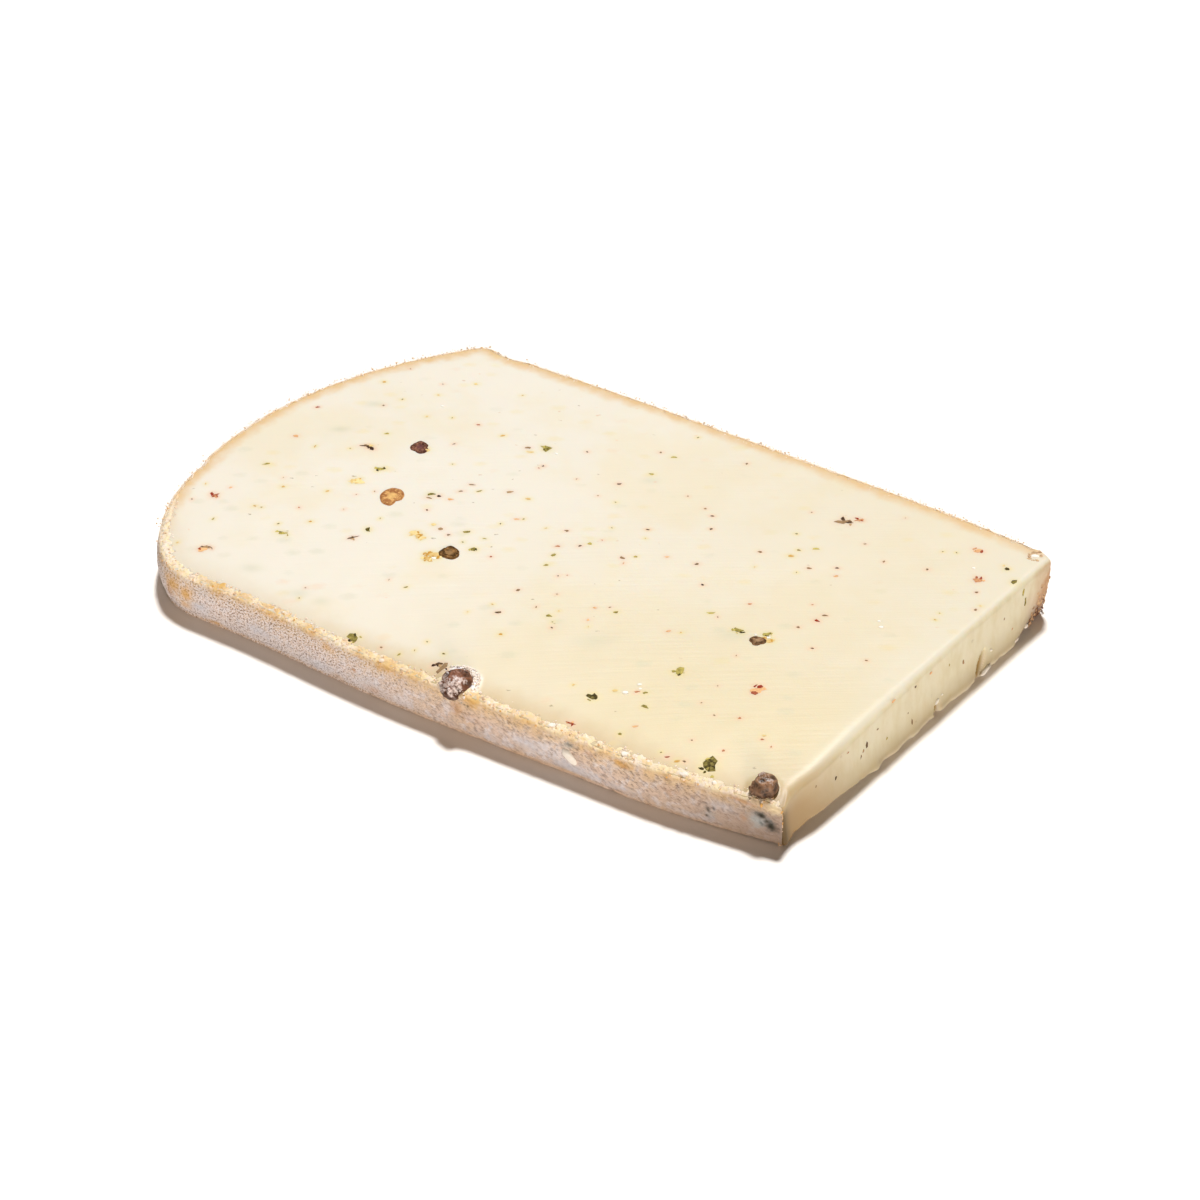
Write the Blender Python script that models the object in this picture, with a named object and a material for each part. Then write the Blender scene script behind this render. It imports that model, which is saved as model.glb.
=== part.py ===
"""A slice of herb and pepper cheese, cut across a small wheel and lying on its cut side.

Frame: +X runs from the rim of the wheel to the straight cut end, +Y from the front rind to
the back rind, and +Z is up. The origin lies on the table, under the middle of the slice.
"""

import math
from dataclasses import dataclass

import bmesh
import bpy
from mathutils import Vector

MM = 0.001

# The slice.
LENGTH = 155.6 * MM
WIDTH = 95.8 * MM
FRONT_HEIGHT = 8.4 * MM  # the slice is thinnest along its front rind
BODY_HEIGHT = 12.4 * MM
RISE_REACH = 18.0 * MM  # how far from the front rind most of the rise takes

# The foot of the wall.
FOOT_ROUND = 0.3 * MM
FOOT_INSET = 1.2 * MM
LIFT_SPREAD = 2.0  # how far the table contact draws back, for each unit that the foot lifts
CORNER_SPREAD = 4.0 * MM  # the length over which the rings turn a corner

# Rings of the mesh.
WALL_LEVELS = (0.12, 0.38, 0.64, 0.88)  # parts of the wall's height
EDGE_TURNS = (0, 45, 90)  # degrees round the top edge
TOP_RINGS = (0.06, 0.16, 0.30, 0.50, 0.72, 0.92)
RIDGE_HALF_LENGTH = 46.0 * MM  # the slim loop along the middle that the top rings close in on
RIDGE_HALF_WIDTH = 3.0 * MM

# Peppercorns.
SOCKET_GAP = 0.3 * MM
CUT_PROUD = 0.15 * MM  # how far a cut peppercorn stands out of the paste
WRINKLE = 0.045  # of the radius
SOCKET_SUBDIVISIONS = 2
CORN_SUBDIVISIONS = 3


@dataclass
class Corner:
    """Where two sides of the outline meet, and how far along each the rounding starts."""

    x: float
    y: float
    reach_before: float
    reach_after: float
    columns: int


@dataclass
class Side:
    """One side of the outline, from its own corner to the next one."""

    bow: float  # how far its middle stands out, seen from above
    bow_power: float  # 2 bows evenly, and more keeps the middle straighter
    belly: float  # how far its wall swells at half height
    tuck: float  # how far its foot draws in
    edge: float  # radius of its top edge
    columns: int


@dataclass
class Column:
    """One vertical strip of the wall."""

    place: Vector
    outward: Vector
    inward: Vector
    belly: float
    tuck: float
    edge: float


@dataclass
class Peppercorn:
    """A round corn: raised is the height of its centre over the paste's top at its place."""

    name: str
    x: float
    y: float
    radius: float
    raised: float
    cut: bool


HALF_LENGTH = LENGTH / 2
HALF_WIDTH = WIDTH / 2

# Seen from above and running counterclockwise: front, cut end, back, rim.
CORNERS = (
    Corner(8.6 * MM - HALF_LENGTH, 2.2 * MM - HALF_WIDTH, 16.0 * MM, 12.0 * MM, 10),
    Corner(HALF_LENGTH - 6.3 * MM, 4.0 * MM - HALF_WIDTH, 0.8 * MM, 0.8 * MM, 3),
    Corner(HALF_LENGTH, HALF_WIDTH - 2.6 * MM, 2.0 * MM, 16.0 * MM, 8),
    Corner(23.7 * MM - HALF_LENGTH, HALF_WIDTH - 0.8 * MM, 2.5 * MM, 2.5 * MM, 4),
)
FRONT = Side(2.8 * MM, 2.0, belly=0.3 * MM, tuck=0.2 * MM, edge=0.7 * MM, columns=42)
CUT_END = Side(-0.2 * MM, 2.0, belly=0.0, tuck=-1.0 * MM, edge=1.3 * MM, columns=36)
BACK = Side(1.2 * MM, 2.5, belly=0.3 * MM, tuck=0.2 * MM, edge=0.7 * MM, columns=35)
RIM = Side(14.6 * MM, 2.0, belly=0.8 * MM, tuck=0.7 * MM, edge=0.8 * MM, columns=34)
SIDES = (FRONT, CUT_END, BACK, RIM)

# Places where the outline stands out or draws in: x, y, spread and amount.
BUMPS = (
    (-41.8 * MM, -46.5 * MM, 13.0 * MM, -1.1 * MM),  # the front rind is flat next to the rim
    (46.2 * MM, -46.5 * MM, 11.0 * MM, 0.7 * MM),
    (71.6 * MM, -38.6 * MM, 3.4 * MM, -1.1 * MM),  # paste shrunk behind the end of the rind
    (-76.4 * MM, -17.3 * MM, 1.6 * MM, -0.5 * MM),  # nick in the rim
    (-52.6 * MM, 47.4 * MM, 1.6 * MM, 0.4 * MM),  # pinched back corner
    (-46.8 * MM, 46.8 * MM, 2.6 * MM, -0.6 * MM),
)

# Places where only the foot of the wall stands out or draws in: x, y, spread and amount.
FOOT_BUMPS = (
    (77.2 * MM, 44.0 * MM, 5.5 * MM, -2.2 * MM),
)

# Places where the foot of the wall hangs clear of the table: x, y, spread and height.
LIFTS = (
    (73.3 * MM, -31.0 * MM, 8.0 * MM, 1.7 * MM),
    (76.8 * MM, 35.5 * MM, 2.6 * MM, 1.9 * MM),
)

# Crevices torn into the cut end: y, height, half width, half height, depth, lean in degrees.
CREVICES = (
    (19.0 * MM, 2.1 * MM, 0.55 * MM, 2.8 * MM, 1.6 * MM, -33.0),
    (4.5 * MM, 0.9 * MM, 0.6 * MM, 1.3 * MM, 1.4 * MM, -6.0),
)

PEPPERCORNS = (
    Peppercorn("peppercorn_corner", 66.1 * MM, -41.3 * MM, 2.5 * MM, 1.2 * MM, False),
    Peppercorn("peppercorn_rind", 3.6 * MM, -45.0 * MM, 2.75 * MM, 0.1 * MM, False),
    Peppercorn("peppercorn_cut_brown", -43.3 * MM, 9.9 * MM, 2.4 * MM, -1.6 * MM, True),
    Peppercorn("peppercorn_cut_orange", -38.4 * MM, -6.4 * MM, 2.4 * MM, -1.2 * MM, True),
    Peppercorn("peppercorn_cut_olive", -18.5 * MM, -15.6 * MM, 2.4 * MM, -1.3 * MM, True),
    Peppercorn("peppercorn_cut_front", 44.5 * MM, -8.0 * MM, 2.3 * MM, -1.6 * MM, True),
)


def clear_scene():
    for thing in list(bpy.data.objects):
        bpy.data.objects.remove(thing, do_unlink=True)


def new_collection(name):
    collection = bpy.data.collections.new(name)
    bpy.context.scene.collection.children.link(collection)
    return collection


def new_material(name, colour, roughness):
    material = bpy.data.materials.new(name)
    material.use_nodes = True
    shader = material.node_tree.nodes["Principled BSDF"]
    shader.inputs["Base Color"].default_value = (*colour, 1.0)
    shader.inputs["Roughness"].default_value = roughness
    shader.inputs["Metallic"].default_value = 0.0
    return material


def mesh_object(name, bm, collection, material=None):
    """Turns a bmesh into a smooth object in the collection, and frees it."""
    bmesh.ops.recalc_face_normals(bm, faces=bm.faces)
    mesh = bpy.data.meshes.new(name)
    bm.to_mesh(mesh)
    bm.free()
    mesh.shade_smooth()
    mesh.set_sharp_from_angle(angle=math.radians(50))
    if material is not None:
        mesh.materials.append(material)
    thing = bpy.data.objects.new(name, mesh)
    collection.objects.link(thing)
    return thing


def bell(distance, spread):
    return math.exp(-0.5 * (distance / spread) ** 2)


def mix(first, second, share):
    return first + (second - first) * share


def corner_place(index):
    corner = CORNERS[index % len(CORNERS)]
    return Vector((corner.x, corner.y))


def side_length(index):
    return (corner_place(index + 1) - corner_place(index)).length


def side_place(index, share):
    """A point on a side, which bows out between its two corners."""
    side = SIDES[index]
    start = corner_place(index)
    chord = corner_place(index + 1) - start
    outward = Vector((chord.y, -chord.x)).normalized()
    bow = side.bow * (1 - abs(2 * share - 1) ** side.bow_power)
    return start + chord * share + outward * bow


def rounded_corner(index, share):
    """A point on the curve that leads from the side before a corner to the side after it."""
    corner = CORNERS[index]
    before = (index - 1) % len(SIDES)
    start = side_place(before, 1 - corner.reach_before / side_length(before))
    end = side_place(index, corner.reach_after / side_length(index))
    middle = corner_place(index)
    return mix(mix(start, middle, share), mix(middle, end, share), share)


def outline_columns():
    """The wall's columns, counterclockwise from the corner of the rim and the front."""
    columns = []
    for index, (corner, side) in enumerate(zip(CORNERS, SIDES)):
        before = SIDES[index - 1]
        for step in range(corner.columns):
            share = step / corner.columns
            traits = [
                mix(getattr(before, trait), getattr(side, trait), share)
                for trait in ("belly", "tuck", "edge")
            ]
            columns.append(Column(rounded_corner(index, share), None, None, *traits))
        first = corner.reach_after / side_length(index)
        following = CORNERS[(index + 1) % len(CORNERS)]
        last = 1 - following.reach_before / side_length(index)
        for step in range(side.columns):
            place = side_place(index, mix(first, last, step / side.columns))
            columns.append(Column(place, None, None, side.belly, side.tuck, side.edge))
    set_directions(columns)
    for column in columns:
        column.tuck -= total_bump(column.place, FOOT_BUMPS)
        column.place = column.place + column.outward * total_bump(column.place, BUMPS)
    set_directions(columns)
    return columns


def set_directions(columns):
    """Each column's outward normal, and an inward direction that turns slowly round a corner."""
    spans = []
    for index, column in enumerate(columns):
        following = columns[(index + 1) % len(columns)]
        along = following.place - columns[index - 1].place
        column.outward = Vector((along.y, -along.x)).normalized()
        spans.append(along.length)
    for column in columns:
        total = Vector((0.0, 0.0))
        for other, span in zip(columns, spans):
            nearness = bell((other.place - column.place).length, CORNER_SPREAD)
            total -= other.outward * nearness * span
        column.inward = total.normalized()


def total_bump(place, bumps):
    """What the bumps of a list add up to at a place."""
    return sum(
        amount * bell((place - Vector((x, y))).length, spread)
        for x, y, spread, amount in bumps
    )


def front_line(x):
    """The front side's y at a given x."""
    start = corner_place(0)
    share = (x - start.x) / (corner_place(1).x - start.x)
    return side_place(0, min(max(share, 0.0), 1.0)).y


def top_height(x, y):
    """The paste rises from the front rind and soon levels out."""
    distance = max(y - front_line(x), 0.0)
    return mix(BODY_HEIGHT, FRONT_HEIGHT, math.exp(-distance / RISE_REACH))


def column_profile(column):
    """The inset and height of each ring on a column's wall, from the table up to its edge."""
    lift = total_bump(column.place, LIFTS)
    foot = FOOT_ROUND + lift
    shoulder = top_height(*column.place) - column.edge
    profile = [
        (FOOT_INSET + column.tuck + LIFT_SPREAD * lift, 0.0),
        (FOOT_ROUND + column.tuck, 0.4 * FOOT_ROUND + lift),
    ]
    for level in WALL_LEVELS:
        swell = column.belly * math.sin(math.pi * level)
        profile.append((column.tuck * (1 - level) ** 2 - swell, mix(foot, shoulder, level)))
    for turn in EDGE_TURNS:
        angle = math.radians(turn)
        inset = column.edge * (1 - math.cos(angle))
        profile.append((inset, shoulder + column.edge * math.sin(angle)))
    return profile


def ridge_place(point):
    """Where the ring points in a given direction close in, on a slim loop along the middle."""
    angle = math.atan2(point.y / HALF_WIDTH, point.x / HALF_LENGTH)
    return Vector((RIDGE_HALF_LENGTH * math.cos(angle), RIDGE_HALF_WIDTH * math.sin(angle)))


def ring_points(columns):
    """Every ring of the slice, from the foot up the wall and in over the top."""
    profiles = [column_profile(column) for column in columns]
    rings = []
    for level in range(len(profiles[0])):
        ring = []
        for column, profile in zip(columns, profiles):
            inset, height = profile[level]
            place = column.place + column.inward * inset
            ring.append(Vector((place.x, place.y, height)))
        rings.append(ring)
    edge = rings[-1]
    for share in TOP_RINGS:
        ring = []
        for point in edge:
            place = mix(point.xy, ridge_place(point), share)
            ring.append(Vector((*place, top_height(*place))))
        rings.append(ring)
    return rings


def build_slice(collection, material):
    """The whole slice, paste and rind, as one closed body."""
    bm = bmesh.new()
    rings = [[bm.verts.new(point) for point in ring] for ring in ring_points(outline_columns())]
    count = len(rings[0])
    for lower, upper in zip(rings, rings[1:]):
        for index in range(count):
            after = (index + 1) % count
            bm.faces.new((lower[index], lower[after], upper[after], upper[index]))
    bm.faces.new(reversed(rings[0]))
    bm.faces.new(rings[-1])
    bmesh.ops.triangulate(bm, faces=bm.faces)  # flat faces, so that the sockets cut cleanly
    return mesh_object("cheese_slice", bm, collection, material)


def corn_centre(corn):
    return Vector((corn.x, corn.y, top_height(corn.x, corn.y) + corn.raised))


def wrinkled(direction, seed):
    """How far the skin stands out in a direction, between -1 and 1."""
    x, y, z = direction
    folds = math.sin(5.1 * x + 3.7 * z + seed) * math.cos(4.3 * y - 2.9 * z + 1.7 * seed)
    ridges = math.sin(7.3 * y + 6.1 * x - 0.6 * seed)
    return 0.65 * folds + 0.35 * ridges


def build_peppercorn(corn, seed, collection, material):
    """A wrinkled ball, cut level where the knife went through it."""
    bm = bmesh.new()
    bmesh.ops.create_icosphere(bm, subdivisions=CORN_SUBDIVISIONS, radius=1.0)
    centre = corn_centre(corn)
    for vert in bm.verts:
        direction = vert.co.normalized()
        vert.co = centre + direction * corn.radius * (1 + WRINKLE * wrinkled(direction, seed))
    if corn.cut:
        level = Vector((corn.x, corn.y, top_height(corn.x, corn.y) + CUT_PROUD))
        whole = bm.verts[:] + bm.edges[:] + bm.faces[:]
        bmesh.ops.bisect_plane(bm, geom=whole, plane_co=level, plane_no=(0, 0, 1), clear_outer=True)
        rim = [edge for edge in bm.edges if edge.is_boundary]
        bmesh.ops.contextual_create(bm, geom=rim)
    return mesh_object(corn.name, bm, collection, material)


def build_socket(corn, cutters):
    """The ball that hollows the paste round a peppercorn."""
    bm = bmesh.new()
    radius = corn.radius * (1 + WRINKLE) + SOCKET_GAP
    bmesh.ops.create_icosphere(bm, subdivisions=SOCKET_SUBDIVISIONS, radius=radius)
    stretch = 1 / math.cos(math.radians(18))  # so that its flats also clear the corn
    bmesh.ops.scale(bm, vec=(stretch, stretch, stretch), verts=bm.verts)
    bmesh.ops.translate(bm, vec=corn_centre(corn), verts=bm.verts)
    return mesh_object(corn.name + "_socket", bm, cutters)


def build_crevice(index, crevice, cutters):
    """A thin leaf, pointed at both ends, that opens a tear in the cut end."""
    y, height, half_width, half_height, depth, lean = crevice
    bm = bmesh.new()
    bmesh.ops.create_icosphere(bm, subdivisions=SOCKET_SUBDIVISIONS, radius=1.0)
    bmesh.ops.scale(bm, vec=(depth, half_width, half_height), verts=bm.verts)
    thing = mesh_object(f"crevice_{index}", bm, cutters)
    share = (y - corner_place(1).y) / (corner_place(2).y - corner_place(1).y)
    thing.location = (side_place(1, share).x, y, height)
    thing.rotation_euler = (math.radians(lean), 0.0, 0.0)
    return thing


def carve(target, cutter):
    cutter.hide_render = True
    cutter.display_type = "WIRE"
    cut = target.modifiers.new(cutter.name, "BOOLEAN")
    cut.operation = "DIFFERENCE"
    cut.solver = "EXACT"
    cut.object = cutter


def main():
    clear_scene()
    pieces = new_collection("cheese_slice_with_peppercorns")
    cutters = new_collection("cutters")
    cutters.hide_render = True
    paste = new_material("cheese", (0.93, 0.83, 0.62), 0.45)
    pepper = new_material("peppercorn", (0.16, 0.09, 0.05), 0.8)

    slice_object = build_slice(pieces, paste)
    for seed, corn in enumerate(PEPPERCORNS):
        build_peppercorn(corn, seed, pieces, pepper)
        carve(slice_object, build_socket(corn, cutters))
    for index, crevice in enumerate(CREVICES):
        carve(slice_object, build_crevice(index, crevice, cutters))


if __name__ == "__main__":
    main()
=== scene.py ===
"""The looks of a slice of herb and pepper cheese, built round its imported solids.

Frame: +X runs from the rim of the wheel to the straight cut end, +Y from the front rind to the
back rind, and +Z is up. The origin lies on the table, under the middle of the slice. Sizes are in
metres.
"""

import logging
import math
from dataclasses import dataclass
from enum import Enum

import bpy
import numpy as np
from mathutils import Euler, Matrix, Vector


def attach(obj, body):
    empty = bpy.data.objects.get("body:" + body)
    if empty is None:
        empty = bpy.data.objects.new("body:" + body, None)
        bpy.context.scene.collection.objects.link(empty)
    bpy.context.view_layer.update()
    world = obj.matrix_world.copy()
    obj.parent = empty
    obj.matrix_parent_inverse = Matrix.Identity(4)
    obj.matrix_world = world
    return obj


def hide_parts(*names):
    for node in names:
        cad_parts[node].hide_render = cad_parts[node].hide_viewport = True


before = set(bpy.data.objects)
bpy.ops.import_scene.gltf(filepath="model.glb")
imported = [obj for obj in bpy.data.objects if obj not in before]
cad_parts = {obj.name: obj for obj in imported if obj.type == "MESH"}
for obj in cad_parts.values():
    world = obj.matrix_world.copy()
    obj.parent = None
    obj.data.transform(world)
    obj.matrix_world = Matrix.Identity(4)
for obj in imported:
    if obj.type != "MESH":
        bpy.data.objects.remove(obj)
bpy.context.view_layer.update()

MM = 0.001
log = logging.getLogger("cheese")

Points = np.ndarray
Amounts = np.ndarray
Colour = tuple[float, float, float]


# ---------------------------------------------------------------------------
# Numbers and noise
# ---------------------------------------------------------------------------


def tint(red: int, green: int, blue: int) -> Colour:
    """A colour as a painter mixes it on a screen, turned to the linear light that shaders use."""
    return tuple((value / 255) ** 2.2 for value in (red, green, blue))


def bell(distance: Amounts, spread: float) -> Amounts:
    """A smooth hump, 1 at no distance and near 0 at three spreads."""
    return np.exp(-0.5 * (distance / spread) ** 2)


def ease(value: Amounts, low: float, high: float) -> Amounts:
    """A smooth step.

    Args:
        value: what is stepped.
        low: where the step starts, at 0.
        high: where it ends, at 1.

    Returns:
        Amounts between 0 and 1.
    """
    share = np.clip((value - low) / (high - low), 0.0, 1.0)
    return share * share * (3 - 2 * share)


def blend(first: Amounts, second: Amounts, share: Amounts) -> Amounts:
    """The first amount at share 0, the second at share 1."""
    return first + (second - first) * share


def grain(points: Points, size: float, seed: int) -> Amounts:
    """Smooth noise in space.

    Args:
        points: places, one row each.
        size: how far apart its bumps are.
        seed: which noise.

    Returns:
        An amount between about -1 and 1 for each point.
    """
    spots = points / size + 31.7 * seed
    cell = np.floor(spots).astype(np.int64)
    part = spots - cell
    fade = part**3 * (part * (part * 6 - 15) + 10)
    total = np.zeros(len(points))
    for corner in range(8):
        step = np.array([corner & 1, corner >> 1 & 1, corner >> 2 & 1])
        mixed = (cell + step).astype(np.uint32) * np.array([73856093, 19349663, 83492791], np.uint32)
        mixed = mixed[:, 0] ^ mixed[:, 1] ^ mixed[:, 2] ^ np.uint32(seed * 7919 + 13)
        for turn in (15, 12, 4, 16):
            mixed = (mixed ^ (mixed >> np.uint32(turn))) * np.uint32(0x2C1B3C6D)
        slopes = np.stack([(mixed >> np.uint32(shift)) & np.uint32(1023) for shift in (2, 12, 22)], 1)
        pull = ((slopes / 511.5 - 1) * (part - step)).sum(1)
        total += pull * np.prod(np.where(step, fade, 1 - fade), axis=1)
    return 1.5 * total


def rough_grain(points: Points, size: float, seed: int, octaves: int = 3) -> Amounts:
    """Noise with finer noise on it, each octave half the size and half the amount."""
    return sum(grain(points, size / 2**step, seed + step) / 2**step for step in range(octaves))


# ---------------------------------------------------------------------------
# The plan of the slice, as its solid has it
# ---------------------------------------------------------------------------


@dataclass(frozen=True)
class Corner:
    """Where two sides of the outline meet, and how far along each the rounding starts."""

    x: float
    y: float
    before: float
    after: float


@dataclass(frozen=True)
class Side:
    """One side of the outline: its bow, and the swell, tuck and top radius of its wall."""

    bow: float
    power: float
    belly: float
    tuck: float
    edge: float


@dataclass(frozen=True)
class Swell:
    """A place where the outline or its foot stands out, or draws in."""

    x: float
    y: float
    spread: float
    amount: float

    def at(self, places: Points) -> Amounts:
        """How much it adds at each place."""
        away = np.hypot(places[:, 0] - self.x, places[:, 1] - self.y)
        return self.amount * bell(away, self.spread)


@dataclass
class Strip:
    """Columns of the wall, each with its place on the outline and the shape of its profile."""

    along: Amounts
    place: Points
    outward: Points
    inward: Points
    belly: Amounts
    tuck: Amounts
    edge: Amounts
    lift: Amounts
    top: Amounts


@dataclass
class Outline:
    """The slice seen from above, counterclockwise: front, cut end, back, rim."""

    half_length: float = 77.8 * MM
    half_width: float = 47.9 * MM
    front_height: float = 8.4 * MM
    body_height: float = 12.4 * MM
    rise_reach: float = 18.0 * MM
    step: float = 0.25 * MM
    turn_spread: float = 4.0 * MM

    def __post_init__(self) -> None:
        """Walks round the slice once."""
        length, width = self.half_length, self.half_width
        self.corners = (
            Corner(8.6 * MM - length, 2.2 * MM - width, 16.0 * MM, 12.0 * MM),
            Corner(length - 6.3 * MM, 4.0 * MM - width, 0.8 * MM, 0.8 * MM),
            Corner(length, width - 2.6 * MM, 2.0 * MM, 16.0 * MM),
            Corner(23.7 * MM - length, width - 0.8 * MM, 2.5 * MM, 2.5 * MM),
        )
        self.sides = (
            Side(2.8 * MM, 2.0, 0.3 * MM, 0.2 * MM, 0.7 * MM),
            Side(-0.2 * MM, 2.0, 0.0, -1.0 * MM, 1.3 * MM),
            Side(1.2 * MM, 2.5, 0.3 * MM, 0.2 * MM, 0.7 * MM),
            Side(14.6 * MM, 2.0, 0.8 * MM, 0.7 * MM, 0.8 * MM),
        )
        self.swells = (
            Swell(-41.8 * MM, -46.5 * MM, 13.0 * MM, -1.1 * MM),
            Swell(46.2 * MM, -46.5 * MM, 11.0 * MM, 0.7 * MM),
            Swell(71.6 * MM, -38.6 * MM, 3.4 * MM, -1.1 * MM),
            Swell(-76.4 * MM, -17.3 * MM, 1.6 * MM, -0.5 * MM),
            Swell(-52.6 * MM, 47.4 * MM, 1.6 * MM, 0.4 * MM),
            Swell(-46.8 * MM, 46.8 * MM, 2.6 * MM, -0.6 * MM),
        )
        self.foot_swells = (Swell(77.2 * MM, 44.0 * MM, 5.5 * MM, -2.2 * MM),)
        self.lifts = (
            Swell(73.3 * MM, -31.0 * MM, 8.0 * MM, 1.7 * MM),
            Swell(76.8 * MM, 35.5 * MM, 2.6 * MM, 1.9 * MM),
        )
        self.walk()

    def corner_place(self, index: int) -> Points:
        """Where the corner of that number stands."""
        corner = self.corners[index % 4]
        return np.array([corner.x, corner.y])

    def side_places(self, index: int, share: Amounts) -> Points:
        """Places on a side, which bows out between its two corners."""
        side = self.sides[index]
        start = self.corner_place(index)
        chord = self.corner_place(index + 1) - start
        outward = np.array([chord[1], -chord[0]]) / np.linalg.norm(chord)
        bow = side.bow * (1 - np.abs(2 * share - 1) ** side.power)
        return start + chord * share[:, None] + outward * bow[:, None]

    def side_length(self, index: int) -> float:
        """From its own corner to the next one."""
        return float(np.linalg.norm(self.corner_place(index + 1) - self.corner_place(index)))

    def rounded_corner(self, index: int, share: Amounts) -> Points:
        """Places on the curve from the side before a corner to the side after it."""
        corner, before = self.corners[index], (index - 1) % 4
        first = np.array([1 - corner.before / self.side_length(before)])
        last = np.array([corner.after / self.side_length(index)])
        start, end = self.side_places(before, first), self.side_places(index, last)
        middle, share = self.corner_place(index), share[:, None]
        return blend(blend(start, middle, share), blend(middle, end, share), share)

    def walk(self) -> None:
        """Lays fine columns round the whole outline, and works out which way each one faces."""
        places, traits, middles, count = [], [], [], 0
        for index, corner in enumerate(self.corners):
            before, side = self.sides[index - 1], self.sides[index]
            steps = max(8, int((corner.before + corner.after) / self.step) // 2 * 2)
            share = np.arange(steps) / steps
            places.append(self.rounded_corner(index, share))
            shapes = [(getattr(before, t), getattr(side, t)) for t in ("belly", "tuck", "edge")]
            traits.append(np.stack([blend(a, b, share) for a, b in shapes], 1))
            middles.append(count + steps // 2)
            first = corner.after / self.side_length(index)
            last = 1 - self.corners[(index + 1) % 4].before / self.side_length(index)
            long = int(self.side_length(index) * (last - first) / self.step)
            places.append(self.side_places(index, blend(first, last, np.arange(long) / long)))
            traits.append(np.tile([b for _, b in shapes], (long, 1)))
            count += steps + long
        place, trait = np.concatenate(places), np.concatenate(traits)
        outward, _ = self.directions(place)
        trait[:, 1] -= sum(swell.at(place) for swell in self.foot_swells)
        place = place + outward * sum(swell.at(place) for swell in self.swells)[:, None]
        outward, inward = self.directions(place)
        steps = np.linalg.norm(np.roll(place, -1, 0) - place, axis=1)
        along = np.concatenate([[0.0], np.cumsum(steps)])
        self.length = float(along[-1])
        self.middles = [float(along[index]) for index in middles]
        table = np.hstack([place, outward, inward, trait])
        self.table = np.vstack([table, table[:1]])
        self.along = along

    def directions(self, place: Points) -> tuple[Points, Points]:
        """Each column's outward normal, and an inward direction that turns slowly at corners."""
        span = np.roll(place, -1, 0) - np.roll(place, 1, 0)
        width = np.linalg.norm(span, axis=1)
        outward = np.stack([span[:, 1], -span[:, 0]], 1) / width[:, None]
        away = np.linalg.norm(place[:, None] - place[None], axis=2)
        inward = -(bell(away, self.turn_spread) * width[None]) @ outward
        return outward, inward / np.linalg.norm(inward, axis=1)[:, None]

    def sample(self, along: Amounts) -> Strip:
        """The columns at given distances round the outline."""
        where = np.mod(along, self.length)
        row = np.stack([np.interp(where, self.along, part) for part in self.table.T], 1)
        place = row[:, :2]
        lift = sum(swell.at(place) for swell in self.lifts)
        top = self.top_height(place)
        facing = [part / np.linalg.norm(part, axis=1)[:, None] for part in (row[:, 2:4], row[:, 4:6])]
        return Strip(along, place, *facing, *row[:, 6:9].T, lift, top)

    def front_line(self, x: Amounts) -> Amounts:
        """The front side's y at each x."""
        start, end = self.corner_place(0), self.corner_place(1)
        share = np.clip((x - start[0]) / (end[0] - start[0]), 0.0, 1.0)
        return self.side_places(0, share)[:, 1]

    def top_height(self, place: Points) -> Amounts:
        """The paste rises from the front rind and soon levels out."""
        distance = np.maximum(place[:, 1] - self.front_line(place[:, 0]), 0.0)
        return blend(self.body_height, self.front_height, np.exp(-distance / self.rise_reach))

    def side_span(self, index: int) -> tuple[float, float]:
        """Where a side starts and ends, from the middle of one corner to that of the next."""
        start = self.middles[index]
        end = self.middles[(index + 1) % 4]
        return start, end if end > start else end + self.length


OUTLINE = Outline()


@dataclass(frozen=True)
class Wall:
    """The profile that every wall of the slice shares, from its foot to its top edge."""

    foot_round: float = 0.3 * MM
    foot_inset: float = 1.2 * MM
    lift_spread: float = 2.0

    def rise(self, strip: Strip, share: float) -> tuple[Amounts, Amounts]:
        """The inset and height of the wall at a share of its height."""
        foot = self.foot_round + strip.lift
        shoulder = strip.top - strip.edge
        swell = strip.belly * math.sin(math.pi * share)
        return strip.tuck * (1 - share) ** 2 - swell, blend(foot, shoulder, share)

    def top_round(self, strip: Strip, degrees: float, edge: Amounts) -> tuple[Amounts, Amounts]:
        """The inset and height on the rounding of the top edge, 0 being upright."""
        angle = math.radians(degrees)
        shoulder = strip.top - edge
        return edge * (1 - math.cos(angle)), shoulder + edge * math.sin(angle)

    def foot(self, strip: Strip, degrees: float) -> tuple[Amounts, Amounts]:
        """The inset and height on the rounding of the foot, 0 being upright."""
        angle = math.radians(degrees)
        inset = strip.tuck + self.foot_round * (1 - math.cos(angle))
        return inset, strip.lift + self.foot_round * (1 - math.sin(angle))


WALL = Wall()


@dataclass(frozen=True)
class Pit:
    """A dent that a peppercorn pressed into the paste, with paste pushed up round it."""

    x: float
    y: float
    radius: float
    depth: float
    rim: float

    def at(self, place: Points) -> Amounts:
        """How far it moves the top at each place."""
        away = np.hypot(place[:, 0] - self.x, place[:, 1] - self.y)
        bowl = self.depth * (1 - np.minimum(away / self.radius, 1.0) ** 2)
        return self.rim * bell(away - self.radius * 1.12, 0.5 * MM) - bowl


PITS = (
    Pit(66.1 * MM, -41.3 * MM, 2.2 * MM, 1.0 * MM, 0.35 * MM),
    Pit(3.6 * MM, -45.0 * MM, 2.9 * MM, 0.8 * MM, 0.45 * MM),
)


def paste_relief(place: Points) -> Amounts:
    """How far the cut top of the paste lies above or below its even height."""
    flat = np.column_stack([place, np.zeros(len(place))])
    waves = 0.10 * MM * grain(flat, 22 * MM, 3) + 0.03 * MM * grain(flat, 5 * MM, 4)
    return waves + sum(pit.at(place) for pit in PITS)


def paste_top(place: Points) -> Amounts:
    """The height of the paste's top at each place."""
    return OUTLINE.top_height(place) + paste_relief(place)


# ---------------------------------------------------------------------------
# Mesh helpers
# ---------------------------------------------------------------------------


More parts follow.
